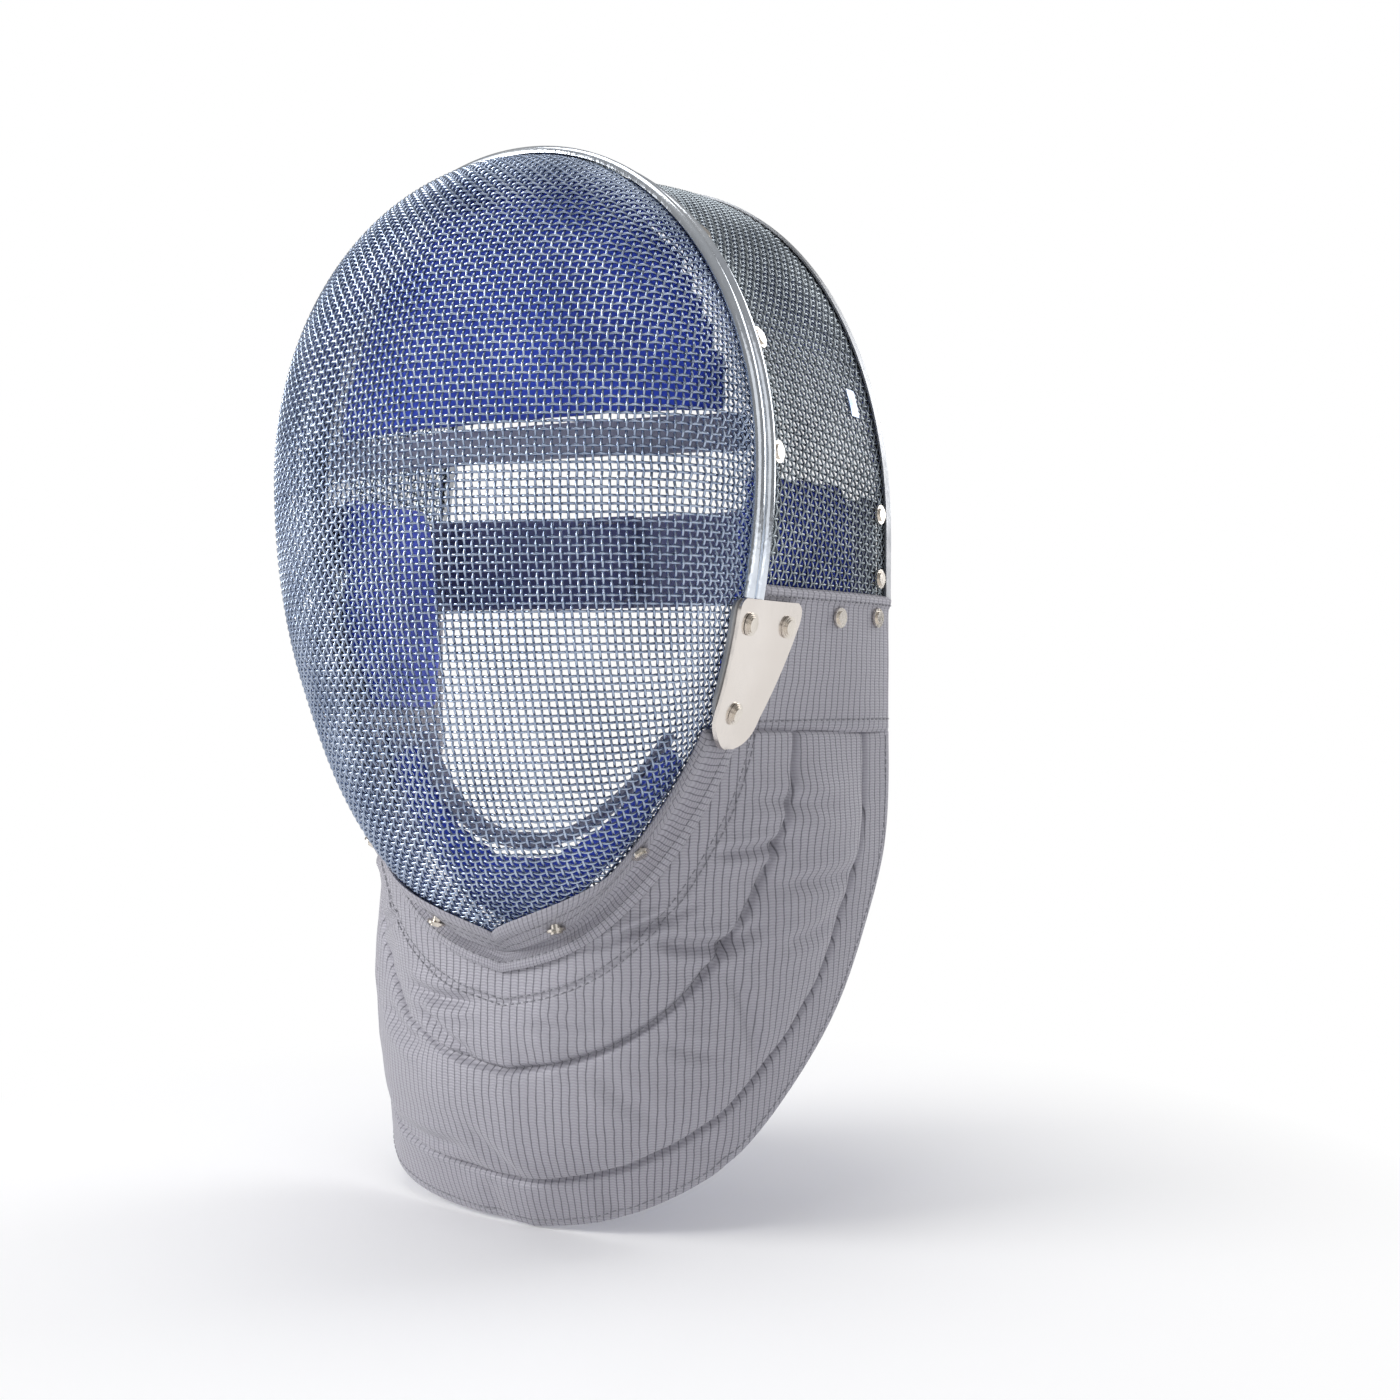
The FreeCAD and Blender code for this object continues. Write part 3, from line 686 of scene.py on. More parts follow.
class Cloths(Enum):
    """Named finishes of the mask."""

    WIRE = MetalFinish("mesh_wire", (0.46, 0.53, 0.66), (0.28, 0.34, 0.46), (0.16, 0.26), 40.0)
    SIDE_WIRE = MetalFinish("side_wire", (0.36, 0.40, 0.43), (0.22, 0.25, 0.28), (0.20, 0.32), 40.0)
    CHROME = MetalFinish("rim_chrome", (0.86, 0.90, 0.95), (0.66, 0.71, 0.79), (0.10, 0.22), 30.0, 0.000006)
    PLATE = MetalFinish("warm_plate", (0.80, 0.75, 0.71), (0.72, 0.67, 0.63), (0.17, 0.23), 18.0, 0.000004)
    RIVET = MetalFinish("warm_rivet", (0.80, 0.75, 0.69), (0.66, 0.61, 0.55), (0.18, 0.28), 60.0, 0.000005)
    BAND = MetalFinish("plain_band", (0.42, 0.43, 0.45), (0.28, 0.29, 0.31), (0.35, 0.5), 50.0)
    FOIL = MetalFinish("foil_tag", (0.66, 0.74, 0.88), (0.30, 0.38, 0.56), (0.30, 0.50), 160.0)
    RIBBED = RibbedCloth("ribbed_cloth", (0.43, 0.42, 0.47), (0.06, 0.06, 0.075))
    TRIM = TapeCloth("trim_tape", (0.30, 0.31, 0.42))
    STRAP = TapeCloth("strap_weave", (0.25, 0.26, 0.36), 0.0012)
    ELASTIC = TapeCloth("dark_elastic", (0.13, 0.145, 0.26), 0.0012)
    LINING = TapeCloth("lining_weave", (0.035, 0.05, 0.16), 0.0007)
    THREAD = TapeCloth("grey_thread", (0.30, 0.30, 0.33), 0.0006)
    HOOKS = PadCloth("hook_nap", (0.03, 0.03, 0.04))
    BLUE = PadCloth("blue_nap", (0.030, 0.085, 0.72))

    def on(self, obj: bpy.types.Object, fx: Effects) -> None:
        """Gives an object this finish alone."""
        obj.data.materials.clear()
        obj.data.materials.append(self.value.material(fx))


# ---------------------------------------------------------------- geometry trees
class GeoTree:
    """A geometry tree with named inputs that is applied and removed."""

    def __init__(self, name: str, inputs: Sequence[Tuple[str, str, object]]) -> None:
        """Opens the tree.

        Args:
            name: Tree name.
            inputs: Name, socket type and default of each input.
        """
        self.group = bpy.data.node_groups.new(name, "GeometryNodeTree")
        self.group.interface.new_socket("Geometry", in_out="INPUT", socket_type="NodeSocketGeometry")
        self.ids: Dict[str, str] = {}
        for label, kind, default in inputs:
            sock = self.group.interface.new_socket(label, in_out="INPUT", socket_type=kind)
            if default is not None:
                sock.default_value = default
            self.ids[label] = sock.identifier
        self.group.interface.new_socket("Geometry", in_out="OUTPUT", socket_type="NodeSocketGeometry")
        self.t = Tree(self.group)
        self.source = self.t.add("NodeGroupInput")
        self.sink = self.t.add("NodeGroupOutput")

    def close(self, geometry: bpy.types.NodeSocket) -> None:
        """Ends the tree in realised, dressed geometry."""
        real = self.t.add("GeometryNodeRealizeInstances", {0: geometry})
        dress = self.t.add("GeometryNodeSetMaterial", {"Geometry": real.outputs[0],
                                                       "Material": self.source.outputs["Material"]})
        self.t.put(self.sink.inputs[0], dress.outputs[0])

    def apply(self, obj: bpy.types.Object, **values: object) -> bpy.types.Object:
        """Runs the tree on an object and keeps the plain mesh.

        Args:
            obj: Object that carries the source edges.
            values: Inputs by name, underscores for spaces.

        Returns:
            The same object with its new mesh.
        """
        mod = obj.modifiers.new("shape", "NODES")
        mod.node_group = self.group
        for key, value in values.items():
            mod[self.ids[key.replace("_", " ")]] = value
        applied(obj).data.name = obj.name
        return obj


class WireTree(GeoTree):
    """Round wire along every polyline of a mesh."""

    def __init__(self) -> None:
        """Writes the tree."""
        super().__init__("round_wire", [("Radius", "NodeSocketFloat", 0.0005), ("Sides", "NodeSocketInt", 6),
                                        ("Material", "NodeSocketMaterial", None)])
        t, given = self.t, self.source.outputs
        curve = t.add("GeometryNodeMeshToCurve", {0: given["Geometry"]})
        ring = t.add("GeometryNodeCurvePrimitiveCircle", {"Resolution": given["Sides"],
                                                          "Radius": given["Radius"]})
        tube = t.add("GeometryNodeCurveToMesh", {"Curve": curve.outputs[0], "Profile Curve": ring.outputs[0],
                                                 "Fill Caps": True})
        soft = t.add("GeometryNodeSetShadeSmooth", {0: tube.outputs[0]})
        self.close(soft.outputs[0])

    def lay(self, sets: Dict[str, Grid], finish: Cloths, node: str, wire: float, sides: int,
            fx: Effects) -> None:
        """Makes each set of lines one piece of steel wire.

        Args:
            sets: Lines in millimetres by piece name.
            finish: The wires' finish.
            node: CAD node that they stand for.
            wire: Wire diameter in millimetres.
            sides: Faces round a wire.
            fx: Shared shader groups.
        """
        mat = finish.value.material(fx)
        for name, lines in sets.items():
            obj = self.apply(polylines(name, lines), Radius=wire * 0.5 * MM, Sides=sides, Material=mat)
            keep(obj, SHELL, "mesh_steel", node)


class StitchTree(GeoTree):
    """Stitches at an even spacing along polylines."""

    def __init__(self) -> None:
        """Writes the tree."""
        super().__init__("stitches", [("Spacing", "NodeSocketFloat", 0.003),
                                      ("Length", "NodeSocketFloat", 0.0021),
                                      ("Radius", "NodeSocketFloat", 0.00028),
                                      ("Material", "NodeSocketMaterial", None)])
        t, given = self.t, self.source.outputs
        curve = t.add("GeometryNodeMeshToCurve", {0: given["Geometry"]})
        even = t.add("GeometryNodeResampleCurve", {"Curve": curve.outputs[0], "Length": given["Spacing"]},
                     mode="LENGTH")
        tangent = t.add("GeometryNodeInputTangent")
        turn = t.add("FunctionNodeAlignRotationToVector", {"Vector": tangent.outputs[0]}, axis="Z")
        seed = t.add("GeometryNodeMeshCylinder", {"Vertices": 6, "Radius": given["Radius"],
                                                  "Depth": given["Length"]})
        soft = t.add("GeometryNodeSetShadeSmooth", {0: seed.outputs[0]})
        inst = t.add("GeometryNodeInstanceOnPoints", {"Points": even.outputs[0], "Instance": soft.outputs[0],
                                                      "Rotation": turn.outputs[0]})
        self.close(inst.outputs[0])

    def sew(self, name: str, lines: Grid, fx: Effects, body: str = SHELL, slot: str = "trim_tape",
            spacing: float = 0.0030, length: float = 0.0020, radius: float = 0.00028) -> None:
        """Sews rows of stitches as one piece.

        Args:
            name: Piece name.
            lines: Rows in millimetres.
            fx: Shared shader groups.
            body: CAD body it rides on.
            slot: Material slot of the record.
            spacing: Distance between stitches in metres.
            length: Length of a stitch in metres.
            radius: Radius of the thread in metres.
        """
        obj = self.apply(polylines(name, lines), Spacing=spacing, Length=length, Radius=radius,
                         Material=Cloths.THREAD.value.material(fx))
        keep(obj, body, slot)


def polylines(name: str, lines: Sequence[Sequence[Vector]]) -> bpy.types.Object:
    """Object of bare edges along polylines given in millimetres."""
    verts, edges = [], []
    for line in lines:
        base = len(verts)
        verts += [p * MM for p in line]
        edges += [(base + k, base + k + 1) for k in range(len(line) - 1)]
    mesh = bpy.data.meshes.new(name)
    mesh.from_pydata(verts, edges, [])
    return link(name, mesh)


def keep(obj: bpy.types.Object, body: str, slot: str, *nodes: str) -> None:
    """Attaches a finished piece to its body, hides the CAD nodes it stands for and logs it.

    Args:
        obj: The piece.
        body: CAD body it rides on.
        slot: Not used.
        nodes: CAD nodes it stands for.
    """
    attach(obj, body)
    if nodes:
        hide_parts(*nodes)
    log.info("%s: %d faces", obj.name, len(obj.data.polygons))


# ---------------------------------------------------------------- meshes of wire
@dataclass
class FrontMesh:
    """Creased visor woven from crimped wire, laid as a net of equal cells."""

    pitch: float = 2.82
    wire: float = 1.0
    inset: float = 1.0
    start_z: float = 8.0
    steps: int = 3
    sides: int = 6
    columns: int = 90
    spare_rows: int = 40
    overrun: float = 7.0
    rim_reach: float = 0.6
    crease_step: float = 0.02
    level_samples: int = 6000
    thinnest: float = 0.5
    pole: float = 0.99999
    tries: int = 9
    stride: float = 1.2
    settled: float = 1e-4
    loose: float = 0.05
    stray: float = 2.4
    nodes: Dict[Tuple[int, int], np.ndarray] = field(default_factory=dict)

    def share(self, z: float) -> float:
        """Height as a share from the widest level, 1 at the crown and -1 at the chin."""
        s = SHAPE
        span = s.top_z - self.inset - s.wide_z if z >= s.wide_z else s.wide_z - s.chin_z - self.inset
        return (z - s.wide_z) / span

    def front(self, k: float) -> float:
        """Crease in front of the rim at a share of the height."""
        return SHAPE.depth_at(k) * (SHAPE.depth - self.inset) / SHAPE.depth

    def gap(self, p: np.ndarray) -> float:
        """Signed value that is zero on the middle surface of the mesh."""
        s = SHAPE
        k = max(-self.pole, min(self.pole, self.share(float(p[2]))))
        width = (1.0 - k * k) ** (s.crown_power / 2.0) if k >= 0 else s.jaw_width(k)
        half = max((s.half_width - self.inset) * width, self.thinnest)
        ahead = (s.rim_y - s.chin_lead(k) - float(p[1])) / max(self.front(k), self.thinnest)
        return (abs(float(p[0])) / half) ** s.section_across + max(0.0, ahead) ** s.section_front - 1.0

    def slope(self, p: np.ndarray) -> np.ndarray:
        """Gradient of the gap."""
        g = np.zeros(3)
        for c in range(3):
            e = np.zeros(3)
            e[c] = 0.01
            g[c] = (self.gap(p + e) - self.gap(p - e)) / 0.02
        return g

    def solve(self, a: np.ndarray, b: np.ndarray, guess: np.ndarray) -> Optional[np.ndarray]:
        """Crossing one pitch from two neighbours and on the surface.

        Args:
            a: Neighbour across.
            b: Neighbour up or down.
            guess: First guess.

        Returns:
            The crossing, or None where the net leaves the shape.
        """
        p = guess.copy()
        for _ in range(self.tries):
            f = np.array([(p - q) @ (p - q) - self.pitch ** 2 for q in (a, b)] + [self.gap(p)])
            j = np.array([2.0 * (p - a), 2.0 * (p - b), self.slope(p)])
            try:
                step = np.linalg.solve(j, f)
            except np.linalg.LinAlgError:
                return None
            size = float(np.linalg.norm(step))
            p = p - step * min(1.0, self.stride / max(size, 1e-9))
            if size < self.settled:
                break
        if size > self.loose or np.linalg.norm(p - guess) > self.stray or not np.isfinite(p).all():
            return None
        return p

    def spaced(self, points: Sequence[np.ndarray]) -> List[np.ndarray]:
        """Those of a fine row of points that lie one pitch apart."""
        out: List[np.ndarray] = []
        for p in points:
            if not out or np.linalg.norm(p - out[-1]) >= self.pitch:
                out.append(p)
        return out

    def crease(self, direction: int) -> List[np.ndarray]:
        """Points one pitch apart along the crease from the starting level."""
        s = SHAPE
        fine, z = [], self.start_z
        limit = s.top_z - self.inset if direction > 0 else s.chin_z + self.inset
        while (limit - z) * direction > 0.0:
            k = self.share(z)
            fine.append(np.array([0.0, s.rim_y - s.chin_lead(k) - self.front(k), z]))
            z += self.crease_step * direction
        return self.spaced(fine)

    def level_line(self) -> List[np.ndarray]:
        """Points one pitch apart along the starting level, out to the rim and past it."""
        phi = SHAPE.level(self.start_z)
        out = self.spaced([np.array(tuple(SHAPE.visor(phi, k / self.level_samples, self.inset)))
                           for k in range(self.level_samples + 1)])
        for _ in range(3):
            out.append(out[-1] + np.array([0.0, self.pitch, 0.0]))
        return out

    def weave(self) -> None:
        """Lays the net over one half and both directions from the starting level."""
        across = self.level_line()
        for direction in (1, -1):
            rise = self.crease(direction)
            for j, p in enumerate(rise):
                self.nodes[(0, j * direction)] = p
            for i, p in enumerate(across):
                self.nodes[(i, 0)] = p
            for j in range(1, len(rise) + self.spare_rows):
                for i in range(1, self.columns):
                    a = self.nodes.get((i - 1, j * direction))
                    b = self.nodes.get((i, (j - 1) * direction))
                    c = self.nodes.get((i - 1, (j - 1) * direction))
                    if a is None or b is None or c is None:
                        continue
                    if min(a[1], b[1]) > SHAPE.rim_y + self.overrun:
                        continue
                    p = self.solve(a, b, a + b - c)
                    if p is not None:
                        self.nodes[(i, j * direction)] = p

    def rim_at(self, z: float) -> float:
        """Rim depth at a height."""
        return SHAPE.rim(SHAPE.level(min(SHAPE.top_z, max(SHAPE.chin_z, z)))).y

    def crimped(self, keys: Sequence[Tuple[int, int]], flip: float) -> Grid:
        """Crimped lines through crossings in order.

        Args:
            keys: Crossings along one wire, negative columns on the wearer's right.
            flip: Which way the first crossing bends.

        Returns:
            The pieces of the wire inside the rim.
        """
        runs: List[List[Tuple[np.ndarray, np.ndarray, float]]] = [[]]
        for i, j in keys:
            p = self.nodes.get((abs(i), j))
            inside = p is not None and p[1] <= self.rim_at(p[2]) + self.rim_reach
            if not inside:
                if runs[-1]:
                    runs.append([])
                continue
            n = self.slope(p)
            n = n / max(1e-9, np.linalg.norm(n))
            if i == 0:
                n = np.array([0.0, n[1], n[2]])
                n = n / max(1e-9, np.linalg.norm(n))
            q = p.copy()
            if i < 0:
                q[0], n[0] = -q[0], -n[0]
            sign = 1.0 if (i + j) % 2 == 0 else -1.0
            runs[-1].append((q, n, sign * flip))
        out = []
        for run in runs:
            if len(run) < 2:
                continue
            line = []
            for k in range(len(run) - 1):
                p0, n0, s0 = run[k]
                p1, n1, s1 = run[k + 1]
                before = run[k - 1][0] if k > 0 else 2 * p0 - p1
                after = run[k + 2][0] if k + 2 < len(run) else 2 * p1 - p0
                for m in range(self.steps):
                    f = m / self.steps
                    q = 0.5 * ((2 * p0) + (p1 - before) * f + (2 * before - 5 * p0 + 4 * p1 - after) * f * f
                               + (3 * p0 - before - 3 * p1 + after) * f ** 3)
                    wave = s0 * math.cos(math.pi * f) * self.wire * 0.5
                    line.append(Vector(q + (n0 * (1 - f) + n1 * f) * wave))
            p1, n1, s1 = run[-1]
            line.append(Vector(p1 + n1 * s1 * self.wire * 0.5))
            out.append(line)
        return out

    def build(self, tree: WireTree, fx: Effects) -> None:
        """Makes the wires.

        Args:
            tree: Wire geometry tree.
            fx: Shared shader groups.
        """
        self.weave()
        cols = max(i for i, _ in self.nodes)
        low = min(j for _, j in self.nodes)
        high = max(j for _, j in self.nodes)
        log.info("front mesh: %d crossings", len(self.nodes))
        sets: Dict[str, Grid] = {}
        for i in range(-cols, cols + 1):
            tag = "front_wires_up_right" if i < 0 else "front_wires_up_left"
            sets.setdefault(tag, []).extend(self.crimped([(i, j) for j in range(low, high + 1)], 1.0))
        for j in range(low, high + 1):
            tag = "front_wires_across_low" if j < 0 else "front_wires_across_high"
            sets.setdefault(tag, []).extend(self.crimped([(i, j) for i in range(-cols, cols + 1)], -1.0))
        tree.lay(sets, Cloths.WIRE, "front_mesh", self.wire, self.sides, fx)


@dataclass
class SideMesh:
    """Side shell woven from the same wire on a band of equal cells."""

    pitch: float = 2.82
    wire: float = 1.0
    inset: float = 1.0
    steps: int = 2
    sides: int = 5
    samples: int = 1000

    def build(self, tree: WireTree, fx: Effects) -> None:
        """Makes the wires.

        Args:
            tree: Wire geometry tree.
            fx: Shared shader groups.
        """
        s = SHAPE
        y0, y1 = s.rim_y + 0.8, s.rear_y - 0.6
        mid = (y0 + y1) / 2.0
        fine = [-1.0 + k / self.samples for k in range(2 * self.samples + 1)]
        table = [s.side(share, mid, -self.inset) for share in fine]
        run = [0.0]
        for a, b in zip(table, table[1:]):
            run.append(run[-1] + (b - a).length)
        count = int(run[-1] / self.pitch)
        shares = [float(np.interp((c + 0.5) * run[-1] / count, run, fine)) for c in range(count)]
        rows = int((y1 - y0) / self.pitch)

        def surface(c: float, r: float, lift: float) -> Vector:
            """Point of the band at fractional wire numbers, lifted out."""
            side = float(np.interp(c, range(count), shares))
            y = y0 + (r + 0.5) * (y1 - y0) / rows
            p = s.side(side, y, -self.inset)
            q = s.side(side, y, 0.0)
            return p + (q - p).normalized() * lift
        sets: Dict[str, Grid] = {"side_wires_fore_aft": [], "side_wires_arch_a": [], "side_wires_arch_b": []}
        for c in range(count):
            line = []
            for m in range(-1, (rows - 1) * self.steps + 2):
                r = min(rows - 0.5, max(-0.5, m / self.steps))
                line.append(surface(float(c), r, math.cos(math.pi * (r + c)) * self.wire * 0.5))
            sets["side_wires_fore_aft"].append(line)
        for r in range(rows):
            line = []
            for m in range((count - 1) * self.steps + 1):
                c = m / self.steps
                line.append(surface(c, float(r), -math.cos(math.pi * (r + c)) * self.wire * 0.5))
            sets["side_wires_arch_a" if r % 2 else "side_wires_arch_b"].append(line)
        tree.lay(sets, Cloths.SIDE_WIRE, "side_mesh", self.wire, self.sides, fx)


# ---------------------------------------------------------------- soft goods
def along_normals(surface: PointFn, lift: LiftFn, nu: int, nv: int) -> Grid:
    """Grid of a surface moved along its own normals.

    Args:
        surface: Point function over the unit square.
        lift: Distance at each share, in millimetres.
        nu: Points across.
        nv: Points down.

    Returns:
        The grid.
    """
    grid = sample(surface, nu, nv)
    out = []
    for i in range(nu):
        row = []
        for j in range(nv):
            du = grid[min(nu - 1, i + 1)][j] - grid[max(0, i - 1)][j]
            dv = grid[i][min(nv - 1, j + 1)] - grid[i][max(0, j - 1)]
            n = dv.cross(du)
            n = n.normalized() if n.length > 1e-9 else Vector((0, -1, 0))
            row.append(grid[i][j] + n * lift(i / (nu - 1.0), j / (nv - 1.0)))
        out.append(row)
    return out


@dataclass(frozen=True)
class Fold:
    """Valley pressed into the bib between two places, with a ridge beside it."""

    start: Tuple[float, float]
    end: Tuple[float, float]
    depth: float
    width: float
    across: float = 470.0
    down: float = 150.0

    def height(self, u: float, v: float) -> float:
        """Change of height at a place, in millimetres.

        Args:
            u: Share across the bib.
            v: Share down the bib.

        Returns:
            The change.
        """
        ax, ay = self.start[0] * self.across, self.start[1] * self.down
        bx, by = self.end[0] * self.across, self.end[1] * self.down
        px, py = u * self.across, v * self.down
        dx, dy = bx - ax, by - ay
        size = math.hypot(dx, dy)
        t = ((px - ax) * dx + (py - ay) * dy) / (size * size)
        if t < -0.6 or t > 1.6:
            return 0.0
        d = ((px - ax) * dy - (py - ay) * dx) / size
        if abs(d) > 5.0 * self.width:
            return 0.0
        run = math.exp(-(max(0.0, abs(t - 0.5) - 0.3) / 0.28) ** 2)
        valley = math.exp(-(d / self.width) ** 2)
        ridge = math.exp(-((abs(d) - 2.1 * self.width) / (1.1 * self.width)) ** 2)
        return self.depth * run * (0.45 * ridge - valley)


@dataclass
class Bib:
    """Padded bib with two quilting seams, its lining and its stitches."""

    columns: int = 401
    rows: int = 141
    collar: float = 0.19
    folds: Tuple[Fold, ...] = (
        Fold((0.845, 0.24), (0.880, 0.43), 2.2, 3.0), Fold((0.847, 0.52), (0.880, 0.78), 2.0, 3.5),
        Fold((0.715, 0.24), (0.760, 0.41), 2.6, 3.2), Fold((0.687, 0.14), (0.773, 0.24), 1.6, 2.4),
        Fold((0.640, 0.11), (0.730, 0.18), 1.4, 2.0), Fold((0.360, 0.30), (0.450, 0.23), 2.8, 3.2),
        Fold((0.390, 0.34), (0.460, 0.40), 2.4, 3.0), Fold((0.320, 0.50), (0.390, 0.46), 2.2, 3.4),
        Fold((0.363, 0.79), (0.447, 0.74), 2.0, 4.0), Fold((0.468, 0.66), (0.500, 0.80), 1.3, 3.5),
        Fold((0.740, 0.52), (0.713, 0.72), 1.6, 3.2), Fold((0.750, 0.40), (0.793, 0.47), 1.8, 3.0),
        Fold((0.590, 0.52), (0.615, 0.68), 1.3, 3.6), Fold((0.540, 0.28), (0.600, 0.36), 1.2, 3.5),
        Fold((0.800, 0.60), (0.830, 0.74), 1.5, 3.2), Fold((0.920, 0.30), (0.930, 0.60), 1.6, 4.0),
        Fold((0.655, 0.50), (0.680, 0.62), 1.3, 3.0), Fold((0.560, 0.86), (0.565, 0.98), 0.8, 3.0),
        Fold((0.470, 0.87), (0.475, 0.99), 0.9, 3.0), Fold((0.640, 0.86), (0.650, 0.98), 0.8, 3.2),
        Fold((0.180, 0.22), (0.130, 0.42), 2.2, 3.2), Fold((0.150, 0.54), (0.120, 0.76), 2.0, 3.6),
        Fold((0.280, 0.20), (0.240, 0.38), 2.2, 3.2), Fold((0.260, 0.55), (0.290, 0.72), 1.6, 3.4),
        Fold((0.080, 0.50), (0.070, 0.70), 1.6, 3.6), Fold((0.210, 0.60), (0.190, 0.74), 1.4, 3.0))
    seam_a: float = 0.42
    seam_b: float = 0.82
    upper_puff: float = 2.5
    roll_puff: float = 4.5
    groove: float = 3.2
    pad_depth: float = 6.6
    hem_depth: float = 3.6
    lining_from: float = 0.15
    lining_to: float = 0.80
    lining_depth: float = 7.9
    lining_t: float = 1.2
    lining_grid: Tuple[int, int] = (81, 17)

    @staticmethod
    def swell(v: float) -> float:
        """Share of the puff between two seams."""
        return math.sin(math.pi * v) ** 0.6 if 0.0 < v < 1.0 else 0.0

    def lift(self, u: float, v: float) -> float:
        """Height of the cloth over the base surface, in millimetres."""
        side = abs(2.0 * u - 1.0)
        fade = 1.0 - 0.7 * smooth((side - 0.8) / 0.2)
        if v < self.seam_a:
            h = self.upper_puff * self.swell(v / self.seam_a)
        elif v < self.seam_b:
            h = self.roll_puff * self.swell((v - self.seam_a) / (self.seam_b - self.seam_a))
        else:
            h = 0.6 * self.swell((v - self.seam_b) / (1.0 - self.seam_b))
        h *= fade
        near = min(abs(v - self.seam_a), abs(v - self.seam_b))
        h -= self.groove * math.exp(-(near / 0.010) ** 2)
        h -= 0.9 * math.exp(-((v - self.collar) / 0.010) ** 2) * fade
        h += sum(f.height(u, v) for f in self.folds) * fade
        p = Vector((u * 34.0, v * 3.0, 0.0))
        pucker = noise.noise(p) * 1.7 * math.exp(-near / 0.06)
        broad = noise.noise(Vector((u * 10.0, v * 4.0, 5.0))) * 2.2 * self.swell(v)
        return h + (pucker + broad) * min(1.0, v / 0.12) * fade

    def build(self, fx: Effects, stitches: StitchTree) -> None:
        """Makes the bib.

        Args:
            fx: Shared shader groups.
            stitches: Stitch geometry tree.
        """
        outer = along_normals(BIB.base, self.lift, self.columns, self.rows)
        inner = along_normals(BIB.base, self.depth, self.columns, self.rows)
        rounded(outer, inner, 3)
        obj = grid_shell("bib_cloth", outer, inner, plan_uv)
        Cloths.RIBBED.on(obj, fx)
        keep(obj, SHELL, "conductive_fabric", "bib_upper", "bib_roll", "bib_hem")
        self.line_inside(fx)
        lines = []
        for v in (self.collar - 0.012, self.collar + 0.012, self.seam_a, self.seam_b, 0.965):
            j = int(round(v * (self.rows - 1)))
            lines.append([outer[i][j].copy() for i in range(3, self.columns - 3)])
        stitches.sew("bib_stitches", lines, fx, spacing=0.0032, length=0.0021, radius=0.00030)

    def depth(self, u: float, v: float) -> float:
        """Height of the inside of the padding, below the base surface."""
        return -self.pad_depth if v < self.seam_b - 0.004 else -self.hem_depth

    def lined(self, u: float, v: float) -> Vector:
        """Base surface over the height that is lined."""
        return BIB.base(mix(0.01, 0.99, u), mix(self.lining_from, self.lining_to, v))

    def line_inside(self, fx: Effects) -> None:
        """Makes the lining, its cloth cut laid out round the neck and by height.

        Args:
            fx: Shared shader groups.
        """
        nu, nv = self.lining_grid
        out = along_normals(self.lined, lambda u, v: -self.lining_depth, nu, nv)
        ins = along_normals(self.lined, lambda u, v: -self.lining_depth - self.lining_t, nu, nv)
        lining = grid_shell("bib_inner_lining", out, ins, plan_uv)
        Cloths.LINING.on(lining, fx)
        keep(lining, SHELL, "lining_fabric", "bib_lining")


@dataclass
class EarPanels:
    """Flat cloth panels between the side mesh and the bib."""

    lap: float = 2.2
    behind_rim: float = 6.4
    before_rear: float = 0.2
    half_t: float = 1.3
    grid: Tuple[int, int] = (61, 33)
    lines: Tuple[float, ...] = (0.07, 0.93)

    def point(self, u: float, v: float) -> Vector:
        """Panel surface on the wearer's left."""
        s = SHAPE
        z = mix(s.side_low + self.lap, s.ear_low - self.lap, v)
        y = mix(s.rim_y + self.behind_rim, s.rear_y - self.before_rear, u)
        return Vector((s.flank(z, y) + 1.4 * math.exp(-((z - s.side_low) / 2.0) ** 2), y, z))

    def build(self, fx: Effects, stitches: StitchTree) -> None:
        """Makes both panels with their stitches.

        Args:
            fx: Shared shader groups.
            stitches: Stitch geometry tree.
        """
        nu, nv = self.grid
        for tail, sign in (("left", 1.0), ("right", -1.0)):
            def lift(u: float, v: float) -> float:
                """Soft hollow between the rivets."""
                hollow = math.sin(math.pi * v) * noise.noise(Vector((u * 5.0, v * 3.0, sign)))
                return self.half_t + 0.25 * hollow
            out = along_normals(self.point, lift, nu, nv)
            ins = along_normals(self.point, lambda u, v: -self.half_t, nu, nv)
            rounded(out, ins)
            if sign < 0:
                mirror(out, ins)
            obj = grid_shell("ear_cloth_" + tail, out, ins, plan_uv)
            Cloths.RIBBED.on(obj, fx)
            keep(obj, SHELL, "conductive_fabric", "ear_panel_" + tail)
            proud = Vector((0.15 * sign, 0, 0))
            rows = [[out[i][int(v * (nv - 1))] + proud for i in range(2, nu - 2)] for v in self.lines]
            stitches.sew("ear_stitches_" + tail, rows, fx)


